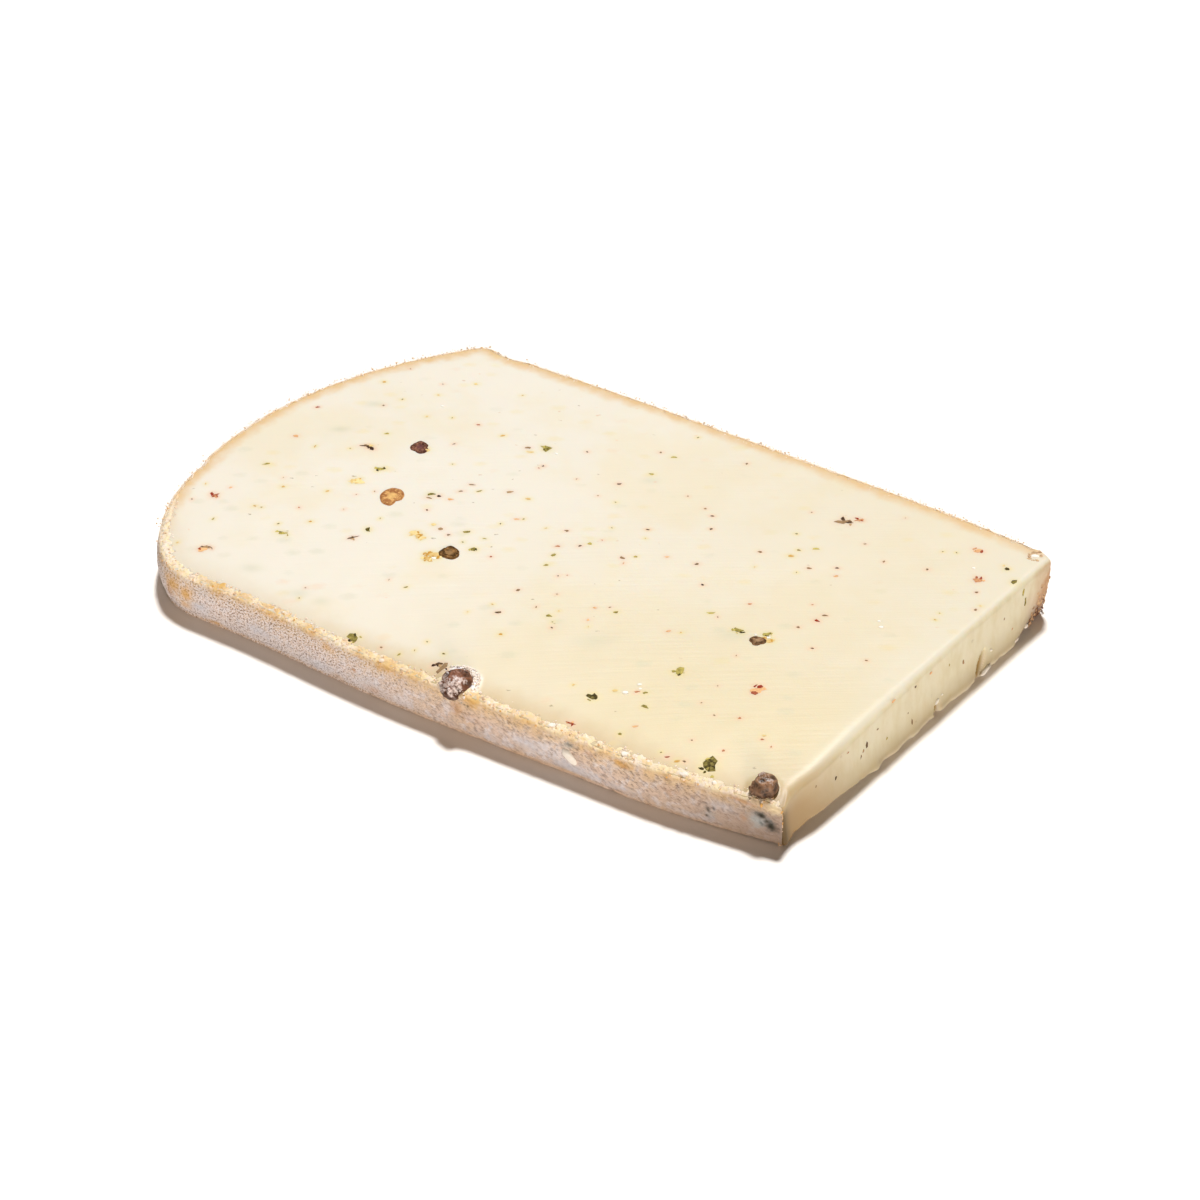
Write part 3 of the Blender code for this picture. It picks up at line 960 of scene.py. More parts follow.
@dataclass
class Paste:
    """The cut cheese itself: top, cut end and underside."""

    columns: int = 286
    rows: int = 176
    hide: float = 0.6 * MM  # how far it draws back behind the rind
    hidden_edge: float = 0.2 * MM
    end_breadth: float = 1.2 * MM
    worn_breadth: float = 2.8 * MM
    turns: tuple[float, ...] = (78, 66, 54, 42, 30, 20, 10, 0)
    levels: int = 24
    ridge_half_length: float = 46.0 * MM
    ridge_half_width: float = 3.0 * MM
    under_hollow: float = 0.15 * MM
    ragged: float = 0.45 * MM

    def build(self, flakes: list["Flake"]) -> bpy.types.Object:
        """Lays the top over the outline, draws the walls down and closes the underside."""
        strips = self.side_strips()
        loop = self.joined(strips)
        top = self.top_points(strips)
        sheet = grid_sheet("paste_top", self.columns, self.rows, top)
        rows = self.wall_rows(loop)
        around = [np.vstack([row, row[:1]]) for row in rows]
        wall = grid_sheet("paste_wall", len(loop.along), len(rows) - 1, np.concatenate(around))
        piece = join([sheet, wall], "cheese_paste")
        close_up(piece)
        smooth(piece)
        self.mark(piece)
        self.mark_spots(piece, flakes)
        return piece

    def row_shares(self) -> Amounts:
        """Shares along the cut end, closer together at its tears."""
        share = np.linspace(0, 1, 2001)
        weight = 1 + 1.9 * bell(share - 0.705, 0.032) + 1.6 * bell(share - 0.543, 0.016)
        total = np.concatenate([[0.0], np.cumsum(weight[1:])])
        return np.interp(np.linspace(0, total[-1], self.rows + 1), total, share)

    def side_strips(self) -> list[Strip]:
        """The columns of the four sides, each from one corner to the next."""
        even, close = np.linspace(0, 1, self.columns + 1), self.row_shares()
        strips = []
        for index, shares in enumerate((even, close, even, 1 - close[::-1])):
            start, end = OUTLINE.side_span(index)
            strips.append(OUTLINE.sample(blend(start, end, shares)))
        return strips

    def joined(self, strips: list[Strip]) -> Strip:
        """All columns in one loop."""
        parts = [[getattr(strip, name)[:-1] for strip in strips] for name in Strip.__annotations__]
        return Strip(*[np.concatenate(part) for part in parts])

    def past_corners(self, strip: Strip) -> Amounts:
        """How far along the cut end each column is from the nearer corner, below 0 elsewhere."""
        start, end = OUTLINE.side_span(1)
        along = np.mod(strip.along, OUTLINE.length)
        return np.minimum(along - start, end - along)

    def edge_of(self, strip: Strip) -> tuple[Amounts, Amounts, Amounts]:
        """The height and breadth of the rounded top edge, and how far the wall draws back."""
        reach = self.past_corners(strip)
        bare = ease(reach, -0.5 * MM, 0.5 * MM)
        # The rounding of the top edge broadens towards the front.
        broad_edge_and_sheen = 1 - ease(strip.place[:, 1], -30 * MM, 20 * MM)
        broad = blend(self.end_breadth, self.worn_breadth, broad_edge_and_sheen)
        share = ease(reach, -0.5 * MM, 5.0 * MM)
        height = blend(self.hidden_edge, strip.edge, share)
        return height, blend(self.hidden_edge, broad, share), self.hide * (1 - bare)

    def ring(self, strip: Strip, inset: Amounts, height: Amounts) -> Points:
        """One ring of vertices."""
        place = strip.place + strip.inward * np.asarray(inset)[:, None]
        return np.column_stack([place, height])

    def rim_points(self, strip: Strip) -> Points:
        """Where the flat top starts."""
        _, broad, back = self.edge_of(strip)
        points = self.ring(strip, broad + back, strip.top)
        points[:, 2] = paste_top(points[:, :2])
        return points

    def top_points(self, strips: list[Strip]) -> Points:
        """The top as a sheet stretched between its four sides."""
        front, end, back, rim = [self.rim_points(strip)[:, :2] for strip in strips]
        back, rim = back[::-1], rim[::-1]
        across = np.linspace(0, 1, self.columns + 1)[None, :, None]
        up = self.row_shares()[:, None, None]
        sheet = blend(front[None], back[None], up) + blend(rim[:, None], end[:, None], across)
        low = blend(front[0], front[-1], across)
        high = blend(back[0], back[-1], across)
        sheet = (sheet - blend(low, high, up)).reshape(-1, 2)
        height = paste_top(sheet)
        return np.column_stack([sheet, height])

    def wall_rows(self, loop: Strip) -> list[Points]:
        """Rings from the edge of the top down to the table, and in under the slice."""
        edge, broad, back = self.edge_of(loop)
        rows = [self.rim_points(loop)]
        relief = rows[0][:, 2] - loop.top
        for turn in self.turns:
            inset, height = WALL.top_round(loop, turn, edge)
            rows.append(self.ring(loop, inset * broad / edge + back, height + relief))
        for level in range(self.levels - 1, -1, -1):
            share = (level / self.levels) ** 1.15
            inset, _ = WALL.rise(loop, share)
            foot, shoulder = WALL.foot_round + loop.lift, loop.top - edge
            rows.append(self.ring(loop, inset + back, blend(foot, shoulder, share) + relief * share))
        for turn in (30, 60, 90):
            inset, height = WALL.foot(loop, turn)
            rows.append(self.ring(loop, inset + back, height))
        inset = WALL.foot_inset + loop.tuck + WALL.lift_spread * loop.lift + back
        rows.append(self.ring(loop, inset, 0 * loop.lift))
        rows = [rows[0]] + [self.torn(loop, row) for row in rows[1:]]
        foot = rows[-1]
        angle = np.arctan2(foot[:, 1] / OUTLINE.half_width, foot[:, 0] / OUTLINE.half_length)
        ridge = np.column_stack([self.ridge_half_length * np.cos(angle),
                                 self.ridge_half_width * np.sin(angle),
                                 np.full(len(foot), self.under_hollow)])
        for share in (0.05, 0.12, 0.22, 0.4, 0.7, 1.0):
            row = blend(foot, ridge, share)
            row[:, 2] = self.under_hollow * min(1.0, 6 * share)
            rows.append(row)
        return rows

    def torn(self, loop: Strip, row: Points) -> Points:
        """Opens the tears in one ring, waves the cut face and makes its foot ragged."""
        bare = ease(self.past_corners(loop), 0.2 * MM, 3.0 * MM)
        low = 1 - ease(row[:, 2], 0.3 * MM, 3.0 * MM)
        crust = 0.22 * MM * rough_grain(row, 1.6 * MM, 44) * ease(row[:, 1], 39 * MM, 43 * MM)
        waves = 0.10 * MM * grain(row, 9 * MM, 41) + 0.05 * MM * grain(row, 2.5 * MM, 42)
        out = (waves + self.ragged * low * rough_grain(row * [1, 1, 0], 3.4 * MM, 43)) * bare + crust
        high = 1 - ease(row[:, 2], loop.top - 1.2 * MM, loop.top)
        depth = np.max([tear.opening(row) for tear in TEARS], axis=0) * bare
        row = row.copy()
        row[:, :2] += loop.outward * (out * high)[:, None] + loop.inward * depth[:, None]
        return row

    def mark(self, piece: bpy.types.Object) -> None:
        """Tells the material how far each point is from the rind, and where the cut end is."""
        points = points_of(piece)
        start, end = OUTLINE.side_span(1)
        strip = OUTLINE.sample(np.arange(end, start + OUTLINE.length, 1.0 * MM))
        away = np.full(len(points), 1.0)
        nearest = np.zeros(len(points), int)
        for index, place in enumerate(strip.place):
            gap = np.hypot(points[:, 0] - place[0], points[:, 1] - place[1])
            closer = gap < away
            away[closer], nearest[closer] = gap[closer], index
        set_amounts(piece, "rind_mm", away / MM)
        set_amounts(piece, "front_share", ease(-strip.place[nearest, 1], 25 * MM, 42 * MM))
        front_warmth = blend(0.35, 1.0, ease(points[:, 0], -40 * MM, 5 * MM))
        set_amounts(piece, "front_warmth",
                    front_warmth * ease(-strip.place[nearest, 1], 25 * MM, 42 * MM))
        right = ease(points[:, 0], -50 * MM, 65 * MM)
        front = ease(-points[:, 1], -10 * MM, 45 * MM)
        left = 0.1 * (1 - ease(points[:, 0], -70 * MM, -10 * MM))
        set_amounts(piece, "warmth", np.clip(0.5 * right + 0.65 * front * right + left, 0, 1))
        facing, upward = normals_of(piece)[:, [0, 2]].T
        at_end = ease(points[:, 0], 66 * MM, 70 * MM)
        height = points[:, 2]
        set_amounts(piece, "end_share", ease(facing, 0.45, 0.85) * at_end)
        # Painted shade near the front corner, on the top round it and on the cut end towards the front.
        corner = np.hypot(points[:, 0] - 71.5 * MM, points[:, 1] + 44 * MM)
        on_top = 0.36 * (1 - ease(corner, 5 * MM, 17 * MM)) + 0.6 * (1 - ease(corner, 2 * MM, 6 * MM))
        on_end = (1 - ease(points[:, 1], -40 * MM, -18 * MM)) * (1 - 0.3 * ease(height, 5 * MM, 9 * MM))
        set_amounts(piece, "front_corner_shade", blend(on_top, on_end, ease(facing, 0.05, 0.5) * at_end))
        # Painted sheen along the rounded top edge of the cut end, away from the front corner.
        away = ease(points[:, 1], -41 * MM, -28 * MM)
        set_amounts(piece, "edge_sheen_share", 0.5 * bell(facing - 0.4, 0.22) * at_end * away)
        # Painted shade on the cut end, darker towards the table.
        low = 0.72 * (1 - ease(height, 0.3 * MM, 6.5 * MM)) + 0.25 * (1 - ease(height, 0, 2.6 * MM))
        set_amounts(piece, "low_shade_share", low)
        # Painted light along the flared foot of the cut end.
        set_amounts(piece, "foot_light_share", 0.8 * bell(height - 0.3 * MM, 0.35 * MM))
        reach = points[:, 1] + 0.5 * (12.4 * MM - height) + 1.2 * MM * rough_grain(points, 2 * MM, 61)
        crust = np.maximum(0.95 * ease(reach, 41.4 * MM, 44.4 * MM), 0.5 * ease(reach, 36 * MM, 43 * MM))
        set_amounts(piece, "corner_share", crust * at_end * (1 - ease(upward, 0.35, 0.85)))
        # Painted shade in the recess beside the front rind's end, low on the cut end.
        near_front = np.hypot(points[:, 0] - 71.6 * MM, points[:, 1] + 43.4 * MM)
        dark = bell(near_front, 1.2 * MM) * (1 - ease(height, 6.4 * MM, 8.6 * MM))
        set_amounts(piece, "gap", dark)
        # Inside each tear: its own olive colour, with painted shade where it is deepest.
        inside = np.max([1 - ease(tear.reach(points), 0.35, 1.05) for tear in TEARS], axis=0)
        set_amounts(piece, "tear", inside * at_end)

    def mark_spots(self, piece: bpy.types.Object, flakes: list["Flake"]) -> None:
        """Gives the paste its stains round the flakes, its deep spots and its mould."""
        points = points_of(piece)
        lying = points[:, 2] > 6.5 * MM
        amounts = {name: np.zeros(len(points)) for name in ("halo_yellow", "halo_pink", "ghost")}
        for flake in flakes:
            name = "halo_yellow" if flake.kind in (Kind.HERB, Kind.STRAW) else "halo_pink"
            reach = flake.reach(points, 0.55 * MM)
            amount = lying * bell(reach, 0.62) * (0.35 + 0.35 * flake.tone)
            amounts[name] = np.maximum(amounts[name], amount)
        for ghost in DEEP_SPOTS:
            amount = lying * bell(ghost.reach(points, 0.3 * MM), 0.7) * ghost.tone
            amounts["ghost"] = np.maximum(amounts["ghost"], amount)
        for name, amount in amounts.items():
            set_amounts(piece, name, amount)
        set_amounts(piece, "mould", lying * MOULD.at(points))


# ---------------------------------------------------------------------------
# Rind
# ---------------------------------------------------------------------------


class Bloom(Enum):
    """What a patch on the front rind is."""

    OCHRE = "ochre"
    FROST = "frost"
    CREAM = "cream"
    TAN = "tan"
    BLUE = "blue"
    DARK = "dark"


@dataclass(frozen=True)
class Stain:
    """A patch on the front rind: its place along it and up it, half length and half height."""

    bloom: Bloom
    x: float
    height: float
    half_length: float
    half_height: float
    amount: float = 0.8
    turn: float = 0.0

    def at(self, points: Points) -> Amounts:
        """How strong it is at each point, given in metres."""
        across, rise = points[:, 0] / MM - self.x, points[:, 2] / MM - self.height
        cos, sin = math.cos(math.radians(self.turn)), math.sin(math.radians(self.turn))
        reach = np.hypot((across * cos + rise * sin) / self.half_length,
                         (rise * cos - across * sin) / self.half_height)
        uneven = 1 + 0.5 * grain(points, 1.1 * MM, 71) + 0.4 * grain(points, 0.45 * MM, 72)
        return self.amount * bell(reach * uneven, 0.62) * (points[:, 1] < -38 * MM)


STAIN_TABLE = {
    Bloom.OCHRE: (
        (-61.5, 5.8, 2.6, 1.9, 0.75), (-57.9, 5.2, 1.8, 1.8, 0.85), (-58.4, 2.6, 1.6, 1, 0.6),
        (-50.6, 9.2, 2, 1.5, 0.95), (-54.6, 9.4, 2.4, 0.8, 0.5), (-45, 9, 2.2, 1, 0.6),
        (-38, 8.9, 3.2, 1.3, 0.75), (-34.6, 8.2, 1.6, 0.9, 0.5), (-28.2, 8.6, 2.4, 0.8, 0.65),
        (-23.9, 7, 1.3, 1, 0.6), (-17, 8.4, 2, 0.7, 0.55), (-10.4, 8.3, 3.8, 0.9, 0.75),
        (-4.8, 8.5, 2.6, 0.6, 0.6), (8.6, 8.3, 2.6, 0.8, 0.8), (20.3, 8.4, 3.2, 0.6, 0.6),
        (28.5, 8.5, 2.4, 0.4, 0.5), (48.4, 8.2, 2.4, 0.5, 0.5), (-51.3, 0.9, 1.6, 0.5, 0.7),
        (-22, 1.4, 1.6, 0.5, 0.3), (30, 0.7, 6, 0.35, 0.4), (39.4, 7.3, 1.9, 0.6, 0.75, -12),
        (-66, 8, 1.6, 0.8, 0.5), (52.5, 8.3, 1.6, 0.5, 0.45), (37, 8.4, 2, 0.5, 0.6),
    ),
    Bloom.TAN: (
        (40.9, 6.8, 1.3, 0.4, 0.45, -12), (33.2, 6.8, 1.2, 0.6, 0.45),
        (63.4, 7.9, 2.8, 0.4, 0.6, -6), (64.2, 4.6, 0.9, 1, 0.4), (50, 5.2, 1.6, 0.8, 0.25),
        (5.2, 5.8, 1.6, 1.6, 0.55), (8.2, 4.6, 2.4, 1.4, 0.25), (-17.7, 4.8, 0.5, 0.4, 0.8),
        (-13.4, 2, 1.4, 0.8, 0.4), (-62.8, 3.6, 1.2, 1.8, 0.45),
    ),
    Bloom.FROST: (
        (-55, 3.5, 2.4, 1.3, 0.75), (-53.8, 7, 2.4, 1.2, 0.4), (-40.6, 3.6, 4, 1.5, 0.6),
        (-26.4, 2.2, 4.6, 1.3, 0.55), (-14.2, 3.4, 3.4, 1.4, 0.5), (12, 1.8, 4, 0.9, 0.35),
        (21, 3.6, 5, 2, 0.6), (29.6, 2, 6.6, 1.6, 0.8), (39.6, 1.8, 4.4, 1, 0.5),
        (60, 5.6, 2.8, 1, 0.4), (53.5, 1.4, 5, 0.7, 0.35),
    ),
    Bloom.CREAM: (
        (69.6, 7.9, 1.8, 0.8, 0.85), (46.6, 8.4, 1.8, 0.6, 0.6), (58, 8.3, 1.6, 0.5, 0.5),
        (25.6, 8.4, 1.8, 0.6, 0.6),
    ),
    Bloom.BLUE: (
        (67, 4.8, 2.3, 1.6, 0.85), (57.6, 3, 1.2, 1.2, 0.35), (29.1, 6.9, 1.3, 0.7, 0.6),
    ),
    Bloom.DARK: (
        (67.4, 6, 1.25, 0.75, 1, -20), (69.2, 4.2, 1.5, 1.1, 1, -25), (68.4, 5.1, 0.8, 0.8, 0.9),
        (57.3, 3.9, 0.4, 0.7, 0.8, 20), (58.4, 4.5, 0.4, 0.3, 0.8), (57, 2.4, 0.45, 0.45, 0.85),
        (56.7, 5.2, 0.3, 0.3, 0.4), (29.3, 7.1, 0.9, 0.3, 0.5), (22.9, 6.2, 0.5, 0.25, 0.55, -20),
        (25.4, 7.3, 0.6, 0.22, 0.5), (6.2, 7.2, 0.22, 0.2, 0.9), (6.9, 7.1, 0.22, 0.2, 0.9),
        (7.6, 7, 0.22, 0.2, 0.9), (3.4, 7.4, 1.1, 0.3, 0.6, -10), (42, 6.4, 0.6, 0.25, 0.5, -20),
    ),
}
STAINS = tuple(Stain(bloom, *row) for bloom, rows in STAIN_TABLE.items() for row in rows)


@dataclass
class Rind:
    """The crust along the front, the rim and the back."""

    front_spacing: float = 0.225 * MM
    back_spacing: float = 0.38 * MM
    levels: int = 34
    front_lip: float = 2.2 * MM
    back_lip: float = 0.9 * MM
    depth: float = 1.5 * MM
    print_length: float = 0.95 * MM
    print_breadth: float = 0.30 * MM
    print_turn: float = -30.0

    def build(self) -> bpy.types.Object:
        """Lays a grid round the crust's cross-section, roughens it and closes it."""
        strip = OUTLINE.sample(self.columns())
        rings, marks = self.cross_section(strip)
        prints = self.printed(strip, rings)
        rings = self.roughened(strip, rings, prints)
        for rows in (rings, marks, prints):
            rows.append(rows[0])
        points = np.concatenate(rings)
        piece = grid_sheet("cheese_rind", len(strip.along) - 1, len(rings) - 1, points)
        self.wrap(piece, strip, rings)
        for position, name in enumerate(("wall_share", "lip_share", "front_share")):
            set_amounts(piece, name, np.concatenate([mark[position] for mark in marks]))
        set_amounts(piece, "print", np.concatenate(prints))
        self.stain(piece)
        close_up(piece)
        smooth(piece, 60)
        return piece

    def columns(self) -> Amounts:
        """Distances round the outline, closer together on the front."""
        cut_start, cut_end = OUTLINE.side_span(1)
        start, end = cut_end + 0.2 * MM, cut_start + OUTLINE.length - 0.1 * MM
        turn = OUTLINE.side_span(0)[0] + OUTLINE.length - 20.0 * MM
        back = np.linspace(start, turn, int((turn - start) / self.back_spacing), endpoint=False)
        return np.concatenate([back, np.linspace(turn, end, int((end - turn) / self.front_spacing))])

    def frontness(self, strip: Strip) -> Amounts:
        """1 along the front, 0 round the rim and the back."""
        return ease(-strip.place[:, 1], 24 * MM, 40 * MM)

    def cross_section(self, strip: Strip) -> tuple[list[Points], list[tuple[Amounts, ...]]]:
        """Rings along the crust, from its foot up, over its lip and down inside."""
        flat = np.zeros_like(strip.along)
        front = self.frontness(strip)
        rings, marks = [], []

        def add(inset: Amounts, height: Amounts, wall: float, lip: float) -> None:
            """Puts one more ring in place."""
            place = strip.place + strip.inward * inset[:, None]
            rings.append(np.column_stack([place, height]))
            marks.append((flat + wall, flat + lip, front))

        for turn in (90, 60, 30):
            add(*WALL.foot(strip, turn), 0.0, 0.0)
        for level in range(self.levels + 1):
            share = level / self.levels
            add(*WALL.rise(strip, share), share, 0.0)
        step = self.lip_top(strip, strip.edge) - strip.top
        for turn in (18, 36, 54, 72, 90):
            inset, height = WALL.top_round(strip, turn, strip.edge)
            add(inset, height + step * turn / 90, 1.0, turn / 90)
        spots = np.column_stack([strip.place, flat])
        width = blend(self.back_lip, self.front_lip, front)
        width = width * (1 + 0.28 * rough_grain(spots, 3 * MM, 21))
        for share in (0.2, 0.4, 0.6, 0.8, 1.0):
            inset = blend(strip.edge, np.maximum(width, strip.edge + 0.2 * MM), share)
            hump = 0.12 * MM * math.sin(math.pi * share) - 0.05 * MM * share
            add(inset, self.lip_top(strip, inset) + hump, 1.0, 1.0)
        for drop in (0.3, 0.8, 1.6):
            inset = np.maximum(width, strip.edge + 0.2 * MM) + 0.12 * MM
            add(inset, self.lip_top(strip, inset) - drop * MM, 1.0, 1.0)
        for share in (0.66, 0.33):
            add(flat + self.depth, blend(strip.lift, strip.top, share), 0.5, 1.0)
        add(flat + self.depth, strip.lift + 0.05 * MM, 0.0, 0.0)
        return rings, marks

    def lip_top(self, strip: Strip, inset: Amounts) -> Amounts:
        """The height of the cut over the lip, which follows the paste."""
        place = strip.place + strip.inward * inset[:, None]
        return paste_top(place)

    def printed(self, strip: Strip, rings: list[Points]) -> list[Amounts]:
        """How deep the cloth's print is at each point: slanting dashes, and a net to the left."""
        outer = 3 + self.levels + 1
        turn = math.radians(self.print_turn)
        left = 1 - ease(strip.place[:, 0], -30 * MM, 14 * MM)
        prints = []
        for index, ring in enumerate(rings):
            if index >= outer:
                prints.append(np.zeros(len(ring)))
                continue
            along, rise = strip.along, ring[:, 2]
            slant = np.column_stack([(along * math.cos(turn) + rise * math.sin(turn)),
                                     (rise * math.cos(turn) - along * math.sin(turn)),
                                     np.zeros(len(ring))])
            dashes = grain(slant / [self.print_length, self.print_breadth, 1.0], 1.0, 51)
            flat = np.column_stack([along, rise, np.zeros(len(ring))])
            net = grain(flat, 0.45 * MM, 52)
            soft = 0.75 + 0.5 * grain(flat, 5 * MM, 53)
            amount = np.maximum(ease(dashes, 0.02, 0.4) * blend(1.0, 0.4, left),
                                ease(net, 0.04, 0.42) * 0.6 * left)
            prints.append(np.clip(amount * soft, 0.0, 1.0))
        return prints

    def roughened(self, strip: Strip, rings: list[Points],
                  prints: list[Amounts]) -> list[Points]:
        """Gives the outer face its hollows and the lip its crumbly edge."""
        out = []
        facing = np.column_stack([strip.outward, np.zeros(len(strip.along))])
        outer = 3 + self.levels + 1
        crumbly = blend(0.5, 1.0, self.frontness(strip))
        crumbly = np.maximum(crumbly, ease(strip.place[:, 0], 45 * MM, 75 * MM))
        for index, ring in enumerate(rings):
            relief = (0.12 * grain(ring, 7 * MM, 31) + 0.08 * grain(ring, 2.2 * MM, 32)
                      + 0.04 * grain(ring, 0.9 * MM, 33)) * MM - 0.11 * MM * prints[index]
            if index < outer:
                ring = ring + facing * relief[:, None]
            elif index < outer + 10:
                ring = ring + facing * relief[:, None] * 0.5
                ring[:, 2] += crumbly * (0.13 * rough_grain(ring, 1.3 * MM, 34)
                                         + 0.12 * grain(ring, 0.6 * MM, 35)) * MM
            ring[:, 2] = np.maximum(ring[:, 2], 0.0)
            out.append(ring)
        return out

    def stain(self, piece: bpy.types.Object) -> None:
        """Lays the blooms and moulds on the front."""
        points = points_of(piece)
        for bloom in Bloom:
            patches = [stain.at(points) for stain in STAINS if stain.bloom is bloom]
            set_amounts(piece, bloom.value, np.max(patches, axis=0))
        set_amounts(piece, "left_share", 1 - ease(points[:, 0], -30 * MM, 14 * MM))
        front = points[:, 1] < -30 * MM
        high = 1 - 0.4 * ease(points[:, 2], 4.5 * MM, 8.5 * MM)
        set_amounts(piece, "shade", 0.88 * ease(points[:, 0], 36 * MM, 76 * MM) * high * front)
        cap = ease(points[:, 0], 71.0 * MM, 75.5 * MM) * ease(points[:, 1], 36 * MM, 41 * MM)
        set_amounts(piece, "cap_share", 0.85 * cap * (1 - ease(points[:, 2], 11.4 * MM, 12.3 * MM)))

    def wrap(self, piece: bpy.types.Object, strip: Strip, rings: list[Points]) -> None:
        """A map that runs along the crust and round its section, in metres."""
        middle = len(strip.along) // 2
        steps = [0.0] + [float(np.linalg.norm(b[middle] - a[middle]))
                         for a, b in zip(rings, rings[1:])]
        up = np.cumsum(steps)
        table = np.stack(np.meshgrid(strip.along - strip.along[0], up), -1).reshape(-1, 2)
        loops = np.empty(len(piece.data.loops), np.int32)
        piece.data.loops.foreach_get("vertex_index", loops)
        layer = piece.data.uv_layers[0]
        layer.name = "RindWrap"
        layer.data.foreach_set("uv", table[loops].astype(np.float32).ravel())


# ---------------------------------------------------------------------------
# Peppercorns
# ---------------------------------------------------------------------------


@dataclass(frozen=True)
class Patch:
    """A round patch on a peppercorn, by the way that it faces."""

    way: tuple[float, float, float]
    reach: float
    amount: float

    def at(self, ways: Points) -> Amounts:
        """How strong it is for each way."""
        away = np.linalg.norm(ways - np.array(self.way) / np.linalg.norm(self.way), axis=1)
        uneven = 1 + 0.6 * grain(ways, 0.4, 77) + 0.5 * grain(ways, 0.16, 78)
        return self.amount * (1 - ease(away * uneven, self.reach * 0.7, self.reach * 1.15))


